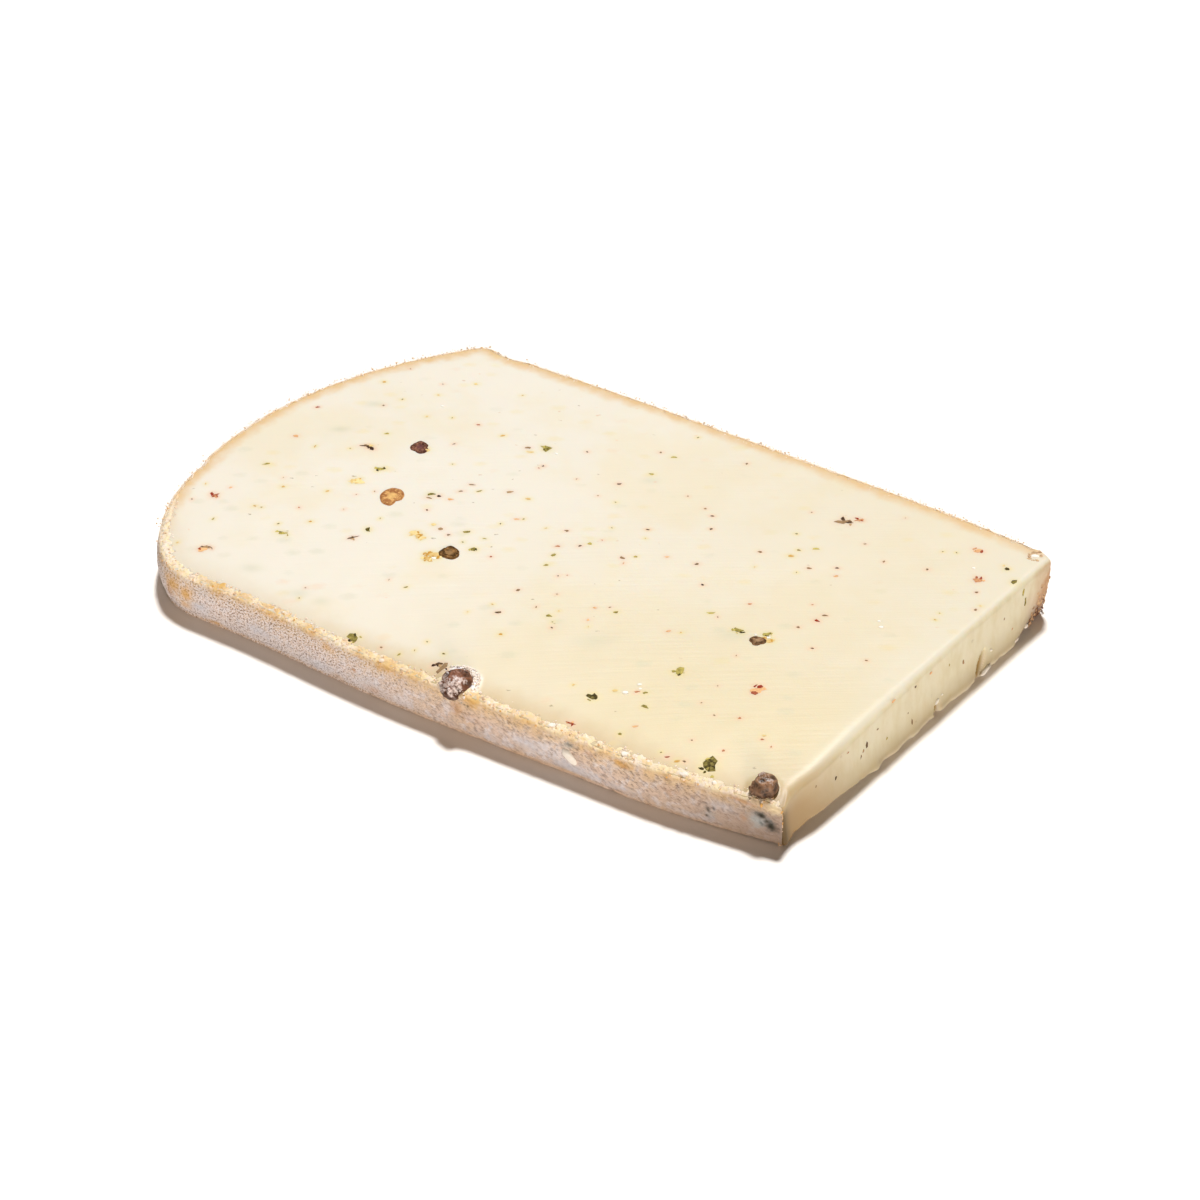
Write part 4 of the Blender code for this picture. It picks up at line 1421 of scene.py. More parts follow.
@dataclass
class Peppercorn:
    """A dried peppercorn, whole or cut level with the paste."""

    name: str
    x: float
    y: float
    radius: float
    raised: float
    cut: bool
    seed: int
    light: Colour = tint(120, 84, 58)
    dark: Colour = tint(48, 32, 26)
    ring: Colour = tint(60, 36, 24)
    heart: Colour = tint(180, 130, 90)
    outline: tuple[float, ...] = ()  # reach of the cut face in mm, at even turns
    patches: tuple[Patch, ...] = ()
    dents: tuple[Patch, ...] = ()
    ring_amount: float = 0.7

    def centre(self) -> Points:
        """The middle of the corn."""
        place = np.array([[self.x, self.y]])
        return np.array([self.x, self.y, OUTLINE.top_height(place)[0] + self.raised])

    def reach_at(self, points: Points) -> Amounts:
        """How far a cut face reaches on the side that each point lies on."""
        if not self.outline:
            return np.full(len(points), math.sqrt(self.radius**2 - self.raised**2))
        turn = np.degrees(np.arctan2(points[:, 1], points[:, 0])) % 360
        table = (*self.outline, self.outline[0])
        return MM * np.interp(turn, np.linspace(0, 360, len(table)), table)

    def build(self) -> bpy.types.Object:
        """A ball with a net of wrinkles, pressed flat where the knife cut it."""
        deselect()
        bpy.ops.mesh.primitive_ico_sphere_add(subdivisions=6, radius=self.radius,
                                              location=(0, 0, 0))
        piece = named(self.name + "_shell")
        points = points_of(piece)
        way = points / np.linalg.norm(points, axis=1)[:, None]
        net = self.wrinkles(way)
        points = self.shaped(points, way, net)
        turn_reach = self.reach_at(points)
        from_heart = np.hypot(points[:, 0], points[:, 1]) / turn_reach
        points = points + self.centre()
        cap = np.zeros(len(points))
        if self.cut:
            bumps = 0.10 * MM * grain(points, 0.7 * MM, self.seed)
            level = paste_top(points[:, :2]) + 0.12 * MM + bumps
            cap = ease(points[:, 2] - level, 0.0, 0.1 * MM)
            points[:, 2] = np.minimum(points[:, 2], level)
        move_points(piece, points)
        smooth(piece, 60)
        # The net's lighter ridges are the shell's own; their fading towards the underside is painted
        # shade.
        set_amounts(piece, "ridge", net * blend(0.25, 1.0, ease(way[:, 2], -0.3, 0.6)))
        set_amounts(piece, "cap", cap)
        set_amounts(piece, "from_heart", from_heart)
        # Patches: real mould on the corn in the rind, painted highlights on the corner corn.
        bloom = [patch.at(way) for patch in self.patches]
        set_amounts(piece, "bloom", np.max(bloom, axis=0) if bloom else cap * 0)
        return piece

    def wrinkles(self, way: Points) -> Amounts:
        """Ridges, 1 on their crests, that net the shell."""
        wide = 1 - np.minimum(1, np.abs(grain(way, 0.8, self.seed + 2)) * 2.6)
        close = 1 - np.minimum(1, np.abs(grain(way, 0.4, self.seed + 4)) * 3.2)
        return np.maximum(wide, 0.45 * close)

    def shaped(self, points: Points, way: Points, net: Amounts) -> Points:
        """The ball made lumpy, netted and dented, or stretched to the cut face's outline."""
        swell = 0.05 * grain(way, 0.9, self.seed) + 0.03 * grain(way, 0.45, self.seed + 1)
        dents = sum(dent.at(way) for dent in self.dents) if self.dents else 0.0
        size = 1 + swell + (0.02 if self.cut else 0.085) * net - dents
        points = points * (size + 0.012 * grain(way, 0.12, self.seed + 3))[:, None]
        if self.outline:
            broad = self.reach_at(points) / math.sqrt(self.radius**2 - self.raised**2)
            points = points * np.column_stack([broad, broad, np.ones(len(broad))])
        return points

    def material(self, groups: Groups) -> bpy.types.Material:
        """Dark furrows and lighter ridges, darker underneath by painted shade; a cut face has a dark
        shell round a paler heart.
        """
        rough, gloss = (0.9, 0.08) if self.cut else (0.42, 0.4)
        material, graph, shader = new_material(self.name, rough, gloss)
        place = graph.place()
        noise = graph.noise(place, 1.6, 4.0, 0.6)
        # Ridges lighter, and the underside darker by painted shade.
        share = graph.maths("ADD+", graph.maths("MULTIPLY", graph.attribute("ridge"), 0.75),
                            graph.maths("SUBTRACT", noise, 0.4))
        colour = graph.mix(share, self.dark, self.light)
        wander = graph.maths("MULTIPLY", graph.maths("SUBTRACT", noise, 0.5), 0.5)
        out = graph.maths("ADD", graph.attribute("from_heart"), wander)
        cap = graph.attribute("cap")
        veins = graph.cells(graph.place(turn=(0, 0, 33), scale=(1.2, 0.8, 1.0)), 1.3,
                            "DISTANCE_TO_EDGE")
        vein = graph.maths("MULTIPLY", graph.steps(veins, 0.14, 0.02), 0.6)
        face = use_group(graph, groups.mottle, Place=place, Base=self.light, Tone=self.dark,
                         Size=1.1, Low=0.42, High=0.6, Amount=0.9).outputs["Colour"]
        face = graph.mix(vein, face, self.dark)
        face = graph.mix(graph.maths("MULTIPLY", graph.steps(out, 0.55, 0.15), 0.75), face,
                         self.heart)
        face = graph.mix(graph.maths("MULTIPLY", graph.steps(out, 0.72, 0.9), self.ring_amount),
                         face, self.ring)
        colour = graph.mix(cap, colour, face)
        # Patches broken up by noise: real mould on the corn in the rind, painted highlights on the
        # corner corn.
        broken = graph.steps(graph.noise(place, 1.7, 4.0, 0.7), 0.38, 0.56)
        bloom = graph.maths("MULTIPLY", graph.attribute("bloom"), broken)
        colour = graph.mix(bloom, colour, MOULD_AND_HIGHLIGHT_COLOUR)
        graph.feed(shader.inputs["Base Color"], colour)
        graph.feed(shader.inputs["Normal"], graph.bump(noise, 0.5, 0.25 * MM))
        return material


# Real mould on the rind's corn, and painted highlights on the corner corn.
MOULD_AND_HIGHLIGHT_COLOUR = tint(238, 224, 220)

CORNS = (
    Peppercorn("peppercorn_corner", 66.1 * MM, -41.3 * MM, 2.35 * MM, 0.8 * MM, False, 50,
               tint(174, 132, 100), tint(42, 27, 18),
               # These two patches are painted highlights, in the mould colour.
               patches=(Patch((-0.5, 0.2, 0.85), 0.3, 0.35), Patch((0.45, -0.1, 0.9), 0.25, 0.4)),
               dents=(Patch((-0.86, -0.1, 0.52), 0.42, 0.2), Patch((0.1, -0.2, 1.0), 0.4, 0.08),
                      Patch((-0.62, -0.77, -0.12), 0.35, -0.16))),
    Peppercorn("peppercorn_rind", 3.6 * MM, -45.0 * MM, 2.75 * MM, 0.1 * MM, False, 60,
               tint(150, 100, 76), tint(40, 22, 16),
               patches=(Patch((0.3, -0.8, 0.45), 0.6, 0.95), Patch((-0.3, -0.9, 0.3), 0.5, 0.7),
                        Patch((-0.6, -0.5, 0.6), 0.25, 0.5)),
               dents=(Patch((-0.32, 0.49, 0.81), 0.7, 0.14), Patch((0.0, -0.85, -0.53), 0.8, -0.22))),
    Peppercorn("peppercorn_cut_brown", -43.3 * MM, 9.9 * MM, 2.4 * MM, -1.6 * MM, True, 70,
               tint(150, 104, 84), tint(56, 32, 28), tint(52, 30, 26), tint(96, 60, 62),
               (2.0, 1.6, 1.9, 2.1, 2.4, 1.9, 1.8, 2.0, 1.9, 1.6, 2.1, 2.3)),
    Peppercorn("peppercorn_cut_orange", -38.4 * MM, -6.4 * MM, 2.4 * MM, -1.2 * MM, True, 80,
               tint(222, 170, 108), tint(152, 98, 60), tint(142, 92, 56), tint(234, 190, 120),
               (2.2, 2.3, 2.4, 2.7, 2.7, 2.3, 2.1, 2.1, 2.4, 2.8, 3.0, 1.8), ring_amount=0.5),
    Peppercorn("peppercorn_cut_olive", -18.5 * MM, -15.6 * MM, 2.4 * MM, -1.3 * MM, True, 90,
               tint(160, 118, 72), tint(64, 46, 26), tint(66, 46, 24), tint(146, 116, 80),
               (2.1, 1.8, 1.8, 1.9, 2.2, 1.8, 1.9, 2.1, 1.9, 1.6, 1.9, 2.1)),
    Peppercorn("peppercorn_cut_front", 44.5 * MM, -8.0 * MM, 2.3 * MM, -1.6 * MM, True, 100,
               tint(158, 122, 90), tint(74, 52, 36), tint(78, 54, 38), tint(172, 140, 108),
               (1.5, 1.7, 1.4, 1.2, 1.3, 1.5, 1.6, 1.5, 1.3, 1.5, 1.5, 1.2)),
)


# ---------------------------------------------------------------------------
# Herbs, chilli and crumbs
# ---------------------------------------------------------------------------


class Kind(Enum):
    """What a flake in the paste is."""

    HERB = "herb"
    PEPPER = "pepper"
    CHILLI = "chilli"
    STRAW = "straw"


@dataclass(frozen=True)
class Flake:
    """One flake on the top: place, length, breadth, turn and darkness."""

    kind: Kind
    x: float
    y: float
    long: float
    broad: float
    turn: float
    tone: float

    def reach(self, points: Points, around: float) -> Amounts:
        """0 in the flake's middle, and 1 at a given distance outside it."""
        across, up = points[:, 0] - self.x, points[:, 1] - self.y
        cos, sin = math.cos(self.turn), math.sin(self.turn)
        return np.hypot((across * cos + up * sin) / (self.long / 2 + around),
                        (up * cos - across * sin) / (self.broad / 2 + around))


def mm_flake(kind: Kind, x: float, y: float, long: float, broad: float, turn: float = 0.0,
             tone: float = 0.5) -> Flake:
    """A flake given in millimetres."""
    return Flake(kind, x * MM, y * MM, long * MM, broad * MM, math.radians(turn), tone)


FLAKE_TABLE = {
    Kind.HERB: (
        (39.8, -7.2, 1.6, 1.2, 20, 0.5), (44.9, -5.4, 1.6, 1, 40, 0.3),
        (54.5, -40.6, 2.8, 3.2, 60, 0.8), (54.6, -42.6, 0.7, 0.5, 60, 0.8),
        (-22.2, 23, 1.8, 1.6, 0, 0.6), (-20.2, -44.4, 2, 2.4, 20, 0.6), (37, -22.7, 1.8, 2, 30, 0.3),
        (27.1, -36.4, 1.4, 2, 80, 0.9), (36.7, -34, 1.3, 0.8, -20, 0.5), (75.2, 33.2, 1.3, 1, 60, 0.8),
        (-35.9, -17.6, 1, 1.3, 60, 0.9), (-49.3, -26.7, 1.9, 0.6, 40, 0.4),
        (-65.3, -10.5, 1.3, 0.5, 40, 0.4), (-51.5, 10.4, 0.9, 0.6, 20, 0.3),
        (-45.6, -0.2, 1.6, 1, 33, 0.4), (-32.4, -1.9, 1.4, 0.9, 50, 0.7),
        (-25.1, 3.9, 1.2, 0.3, 50, 0.5), (-19.5, -8.4, 1.3, 0.8, 40, 0.6),
        (-15.4, -12.3, 1.5, 0.9, 25, 0.7), (-15.5, -8.4, 0.9, 0.3, 10, 0.3),
        (0.1, 34, 1.1, 0.6, 33, 0.3), (-0.3, 26.7, 0.9, 0.6, 33, 0.3), (2.3, 0.8, 1, 0.6, 33, 0.25),
        (11.8, 1.9, 0.9, 0.5, 33, 0.3), (-1, -9.2, 0.9, 0.6, 33, 0.3), (8, -21.7, 1.1, 0.7, 33, 0.5),
        (17.9, -14.4, 0.9, 0.6, 33, 0.5), (32.9, -5.4, 1.4, 0.8, 33, 0.2),
        (39, 22.4, 1.2, 0.7, 33, 0.1), (34.8, -30.9, 0.9, 0.5, 33, 0.5),
        (36.5, -41.9, 0.9, 0.6, 33, 0.6), (56.3, -42.9, 1, 0.6, 33, 0.2),
    ),
    Kind.PEPPER: (
        (-1, -43.1, 2.8, 1.1, 88, 0.4), (38.8, 32.8, 2.8, 1.3, 33, 0.4), (-59.6, -37, 1.8, 0.7, 30, 0.3),
        (-52.5, 4.7, 2.6, 0.4, 33, 0.8), (-31.9, -3.1, 1.3, 0.3, 20, 0.6),
        (-30.7, -1.6, 0.9, 0.7, 60, 1), (-28.1, 2, 1.2, 0.3, 40, 0.6), (-27.5, 4.9, 1.1, 0.3, 20, 0.6),
        (-30, -6.6, 0.5, 0.4, 0, 0.8), (-37, -21.2, 1.9, 0.4, 50, 0.8),
        (-24.3, -10.3, 1.2, 0.7, 30, 0.3), (-25.5, 21.3, 1.2, 0.6, 40, 0.5),
        (-19.5, 17.6, 0.5, 0.5, 0, 1), (-3.8, 20.4, 0.8, 0.5, 33, 0.9), (-20, 6.8, 1.2, 0.8, 33, 0.2),
        (-3.7, 2, 0.9, 0.5, 33, 0.6), (1.1, -0.8, 0.6, 0.4, 33, 0.95), (-1.2, -18.3, 1, 0.5, 50, 0.6),
        (-0.6, -25.7, 1.1, 0.6, 40, 0.8), (16.9, 21, 0.7, 0.4, 33, 0.9), (19, 17.2, 0.6, 0.5, 33, 0.9),
        (22.7, 6.1, 0.9, 0.5, 33, 0.6), (30.7, 15.8, 0.8, 0.5, 33, 0.6), (41, 16.3, 0.9, 0.5, 33, 0.5),
        (45.4, 19.2, 0.9, 0.3, 33, 0.95), (50.9, 5.2, 1, 0.5, 33, 0.5), (54, -4.6, 0.7, 0.4, 33, 0.9),
    ),
    Kind.CHILLI: (
        (41, 35, 1.6, 0.4, 50, 0.5), (-59.9, -37.9, 1.6, 1.3, 30, 0), (51.8, -20.1, 2.8, 1.4, 33, 0.1),
        (64.8, 38.3, 1.6, 1, 33, 0.2), (69.3, 30, 2, 1.2, 33, 0.5), (-67.7, -23.8, 2, 0.5, 70, 0.8),
        (-28.3, -1.3, 1.2, 0.6, 10, 0.1),
        (-66.6, -20.3, 0.8, 0.4, 40, 0.1), (-66.2, 0.2, 1.2, 0.9, 33, 0.2),
        (-68.7, 10.8, 0.9, 0.4, 50, 0.9), (-13.9, 0.1, 1.4, 0.3, 33, 0.2),
        (16.8, 5, 0.8, 0.5, 33, 0.1), (13.9, -15.3, 0.8, 0.4, 33, 0.2), (14.8, -19, 0.8, 0.5, 33, 0.1),
        (29.1, -14.1, 0.9, 0.5, 33, 0.2), (46.5, 16.9, 0.9, 0.5, 33, 0.1),
        (37.5, 0.8, 0.6, 0.5, 33, 0.4), (33.4, -31.4, 0.9, 0.5, 33, 0.6),
        (37.9, -39.1, 1, 0.5, 33, 0.1), (27.2, -43.8, 1.7, 0.4, 10, 0.9),
        (54.8, -36.7, 0.7, 0.5, 33, 0.7), (46.9, -42.7, 0.8, 0.4, 33, 0.9),
        (53, -28.2, 0.7, 0.4, 33, 0.7),
    ),
    Kind.STRAW: (
        (-47.1, -5.4, 1.6, 1, 20, 0.1), (-46.7, -6, 2.6, 1.2, 30, 0),
        (-41.7, 9.8, 1.5, 1.2, 10, 0.4), (-20.6, -17.4, 2.6, 1.4, 30, 0.5),
        (-20.9, -19.2, 1.8, 1.3, -10, 0.7), (46.3, -6.9, 2.2, 0.9, 33, 0.5),
        (-27.7, -13.9, 2.2, 1.4, 20, 0.2), (-51.8, 5.2, 1.4, 0.7, 33, 0.3),
        (-58, -14.9, 1, 0.5, 33, 0.7), (-62.9, 25.3, 0.9, 0.5, 33, 0.7),
        (-47, 34.7, 0.9, 0.6, 20, 0.2), (-25.7, -14.5, 1.6, 1, 20, 0.1),
        (-26.2, -9.8, 1.2, 0.7, 30, 0.2), (-21.7, -18, 1.6, 0.4, 60, 0.9),
        (-24.3, 20.3, 1.4, 0.5, 33, 0.3), (-15.7, 6.8, 1, 0.6, 33, 0.6),
        (36.2, 17.8, 1.2, 0.6, 33, 0.8), (29.8, -33.1, 1, 0.6, 33, 0.3), (49, -42.7, 1, 0.6, 33, 0.8),
    ),
}
FLAKES = tuple(mm_flake(kind, *row) for kind, rows in FLAKE_TABLE.items() for row in rows)

DEEP_SPOTS = tuple(mm_flake(Kind.HERB, *row) for row in (
    (-59.7, 17.8, 3.4, 1.6, 33, 0.4), (-60.2, 6.9, 3.0, 1.4, 33, 0.4),
    (-48.3, -37.8, 3.6, 1.6, 20, 0.35), (-36.2, -39.4, 3.4, 1.6, 20, 0.35),
    (-31.3, -39.2, 2.6, 1.4, 20, 0.3), (39.8, -8.9, 5.0, 2.4, 33, 0.35),
    (0.6, 24.7, 3.0, 1.5, 33, 0.3), (19.0, -23.5, 7.0, 3.0, 33, 0.25),
))


@dataclass(frozen=True)
class Halo:
    """A ring of mould on the paste beside a peppercorn, open on one side."""

    x: float
    y: float
    near: float
    far: float
    facing: float  # degrees from +X
    spread: float

    def at(self, points: Points) -> Amounts:
        """How strong it is at each point."""
        across, up = points[:, 0] - self.x, points[:, 1] - self.y
        away = np.hypot(across, up) + 0.5 * MM * grain(points * [1, 1, 0], 1.2 * MM, 81)
        turn = np.degrees(np.arctan2(up, across)) - self.facing
        side = 1 - ease(np.abs((turn + 180) % 360 - 180), self.spread - 20, self.spread + 15)
        return side * ease(away, self.near - 0.2 * MM, self.near + 0.3 * MM) * (
            1 - ease(away, self.far - 0.7 * MM, self.far + 0.5 * MM))


MOULD = Halo(3.6 * MM, -45.0 * MM, 2.3 * MM, 4.2 * MM, 66.0, 82.0)


class Grains:
    """Builds one mesh out of many copies of a small shape."""

    def __init__(self, name: str) -> None:
        """Starts with none."""
        self.name = name
        self.points: list[Points] = []
        self.faces: list[Points] = []
        self.tones: list[Amounts] = []
        self.count = 0

    def put(self, points: Points, faces: Points, tone: float) -> None:
        """Adds one copy."""
        self.points.append(points)
        self.faces.append(faces + self.count)
        self.tones.append(np.full(len(points), tone))
        self.count += len(points)

    def build(self) -> bpy.types.Object:
        """The joined mesh."""
        mesh = bpy.data.meshes.new(self.name)
        faces = np.concatenate(self.faces)
        mesh.from_pydata(np.concatenate(self.points).tolist(), [], faces.tolist())
        mesh.update()
        piece = bpy.data.objects.new(self.name, mesh)
        bpy.context.scene.collection.objects.link(piece)
        set_amounts(piece, "tone", np.concatenate(self.tones))
        smooth(piece, 40)
        return piece


class Shape:
    """A small shape that is modelled once and copied."""

    def __init__(self, piece: bpy.types.Object) -> None:
        """Takes the shape from a primitive, which it removes."""
        mesh = piece.data
        mesh.calc_loop_triangles()
        self.points = points_of(piece)
        faces = np.empty(len(mesh.loop_triangles) * 3, np.int32)
        mesh.loop_triangles.foreach_get("vertices", faces)
        self.faces = faces.reshape(-1, 3)
        bpy.data.objects.remove(piece)


def chip_shape(corners: int) -> Shape:
    """A flat chip: a disc drawn down and in, with its middle raised."""
    deselect()
    bpy.ops.mesh.primitive_circle_add(vertices=corners, radius=1.0, fill_type="TRIFAN")
    piece = named("chip")
    activate(piece)
    bpy.ops.object.mode_set(mode="EDIT")
    bpy.ops.mesh.select_all(action="SELECT")
    bpy.ops.mesh.extrude_region_move(TRANSFORM_OT_translate={"value": (0, 0, -0.5)})
    bpy.ops.transform.resize(value=(1.05, 1.05, 1.0), center_override=(0, 0, 0))
    bpy.ops.mesh.extrude_region_move(TRANSFORM_OT_translate={"value": (0, 0, -0.5)})
    bpy.ops.transform.resize(value=(0.6, 0.6, 1.0), center_override=(0, 0, 0))
    bpy.ops.mesh.select_all(action="SELECT")
    bpy.ops.mesh.normals_make_consistent(inside=False)
    bpy.ops.object.mode_set(mode="OBJECT")
    points = points_of(piece)
    middle = np.hypot(points[:, 0], points[:, 1]) < 0.01
    points[middle & (points[:, 2] > -0.1), 2] += 0.35
    move_points(piece, points)
    return Shape(piece)


def crumb_shape(divisions: int = 1) -> Shape:
    """A little ball, which each copy dents in its own way."""
    deselect()
    bpy.ops.mesh.primitive_ico_sphere_add(subdivisions=divisions, radius=1.0)
    return Shape(named("crumb"))


def end_face(across: Amounts, height: Amounts) -> Amounts:
    """Where the cut end stands in x, for places given by their y and their height."""
    fine = OUTLINE.sample(np.linspace(*OUTLINE.side_span(1), 400))
    strip = OUTLINE.sample(np.interp(across, fine.place[:, 1], fine.along))
    foot, shoulder = WALL.foot_round + strip.lift, strip.top - strip.edge
    share = np.clip((height - foot) / (shoulder - foot), 0.0, 1.0)
    inset = strip.tuck * (1 - share) ** 2 - strip.belly * np.sin(np.pi * share)
    return strip.place[:, 0] + strip.inward[:, 0] * inset


END_FLECKS = {
    Kind.PEPPER: (
        (-18, 6.8, 1.3, 0.6, 80, 0.8), (-20, 5.4, 0.9, 0.4, 80, 0.6),
        (-3.7, 3.2, 1.2, 0.45, 80, 0.7), (-4.8, 5.8, 0.5, 0.3, 60, 0.6),
        (13.6, 6.2, 1.0, 0.5, 80, 0.4), (-2.3, 10.1, 0.6, 0.3, 30, 0.7),
        (-27.9, 5.7, 0.6, 0.35, 70, 1.0), (-19.2, 6.2, 0.9, 0.4, 60, 0.4),
        (-14.5, 8.1, 0.5, 0.3, 20, 0.6), (-33.5, 7.2, 0.5, 0.3, 60, 0.7),
        (27.5, 7.8, 0.5, 0.3, 60, 0.5),
    ),
    Kind.CHILLI: (
        (2.7, 10.2, 0.8, 0.5, 10, 0.2), (-9.5, 11.3, 1.2, 0.3, 10, 0.2),
        (30.2, 4.1, 0.6, 0.3, 40, 0.5),
        (-24.0, 8.8, 0.5, 0.3, 10, 0.6),
    ),
    Kind.HERB: (
        (34.8, 7.5, 1.7, 0.8, 80, 0.6), (34.0, 10.2, 1.5, 0.6, 70, 0.3),
        (-11.7, 4.4, 0.6, 0.3, 60, 0.3), (8.9, 8.3, 0.6, 0.3, 70, 0.4),
    ),
}


@dataclass
class Flakes:
    """Herbs, cracked pepper, chilli and straw in the top and the cut end of the paste."""

    thick: float = 0.22 * MM
    proud: float = 0.04 * MM
    strays: int = 110
    seed: int = 5

    def __post_init__(self) -> None:
        """Finds where all the flakes of the top lie."""
        self.rng = np.random.default_rng(self.seed)
        self.all = [*FLAKES, *self.stray_flakes(), *self.broken_off()]

    def build(self) -> dict[Kind, bpy.types.Object]:
        """One joined mesh for each kind."""
        shapes = {corners: chip_shape(corners) for corners in (5, 6, 7, 8, 9)}
        heaps = {kind: Grains(kind.value + "_flakes") for kind in Kind}
        for flake in self.all:
            big = max(flake.long, flake.broad) > 1.5 * MM
            shape = shapes[int(self.rng.integers(7, 10)) if big else int(self.rng.integers(5, 8))]
            heaps[flake.kind].put(self.laid(flake, shape), shape.faces, flake.tone)
        for kind, rows in END_FLECKS.items():
            for row in rows:
                fleck, shape = mm_flake(kind, *row), shapes[int(self.rng.integers(5, 8))]
                heaps[kind].put(self.stood(fleck, shape), shape.faces, fleck.tone)
        return {kind: heap.build() for kind, heap in heaps.items()}

    def spread(self, flake: Flake, shape: Shape) -> Points:
        """A chip's outline, made uneven, stretched, turned and moved to its place."""
        points = shape.points
        angle = np.arctan2(points[:, 1], points[:, 0])
        phase = self.rng.uniform(0, 6.3, 3)
        reach = 1 + 0.25 * np.sin(angle * 2 + phase[0]) + 0.2 * np.sin(angle * 3 + phase[1])
        reach += 0.12 * np.sin(angle * 5 + phase[2])
        flat = points[:, :2] * reach[:, None] * [flake.long / 2, flake.broad / 2]
        cos, sin = math.cos(flake.turn), math.sin(flake.turn)
        return flat @ np.array([[cos, sin], [-sin, cos]]) + [flake.x, flake.y]

    def laid(self, flake: Flake, shape: Shape) -> Points:
        """A chip laid in the top."""
        flat = self.spread(flake, shape)
        ground = paste_top(flat) + self.proud
        return np.column_stack([flat, ground + shape.points[:, 2] * self.thick])

    def stood(self, fleck: Flake, shape: Shape) -> Points:
        """A chip set in the cut end, its x and y being the end's y and height."""
        flat = self.spread(fleck, shape)
        out = end_face(flat[:, 0], flat[:, 1]) + self.proud + shape.points[:, 2] * self.thick
        return np.column_stack([out, flat])

    def stray_flakes(self) -> list[Flake]:
        """Small flakes scattered over the whole top."""
        found = []
        kinds = [Kind.HERB, Kind.PEPPER, Kind.CHILLI, Kind.STRAW]
        while len(found) < self.strays:
            place = self.rng.uniform([-74 * MM, -44 * MM], [75 * MM, 46 * MM])
            if not self.inside(place):
                continue
            kind = kinds[int(self.rng.choice(4, p=[0.3, 0.34, 0.18, 0.18]))]
            long = float(np.clip(self.rng.lognormal(-0.75, 0.4), 0.25, 1.1)) * MM
            broad = long * float(self.rng.uniform(0.35, 0.9))
            turn = float(self.rng.normal(math.radians(33), 0.7))
            tone = float(self.rng.uniform(0.3, 1.0))
            found.append(Flake(kind, *place, long, broad, turn, tone))
        return found

    def broken_off(self) -> list[Flake]:
        """Bits of mixed tone beside and over each large flake."""
        found = []
        for flake in FLAKES:
            if max(flake.long, flake.broad) < 1.5 * MM:
                continue
            for _ in range(int(self.rng.integers(3, 6))):
                turn, away = self.rng.uniform(0, math.tau), self.rng.uniform(0.25, 0.7)
                x = flake.x + away * flake.long * math.cos(turn)
                y = flake.y + away * max(flake.broad, 0.6 * MM) * math.sin(turn)
                long, share = self.rng.uniform(0.25, 0.6) * flake.long, self.rng.uniform(0.4, 0.8)
                tone = float(self.rng.choice([0.0, 0.4, 0.9, 1.3]))
                found.append(Flake(flake.kind, x, y, long, long * share,
                                   float(self.rng.uniform(0, math.pi)), tone))
        return found

    def inside(self, place: Points) -> bool:
        """Whether a place is on the top, clear of the edge and the peppercorns."""
        away = np.hypot(*(OUTLINE.table[:, :2] - place).T)
        nearest = int(away.argmin())
        inward = (place - OUTLINE.table[nearest, :2]) @ OUTLINE.table[nearest, 4:6]
        if inward < 0 or away[nearest] < 2.2 * MM:
            return False
        return all(math.hypot(place[0] - c.x, place[1] - c.y) > 3 * MM for c in CORNS)


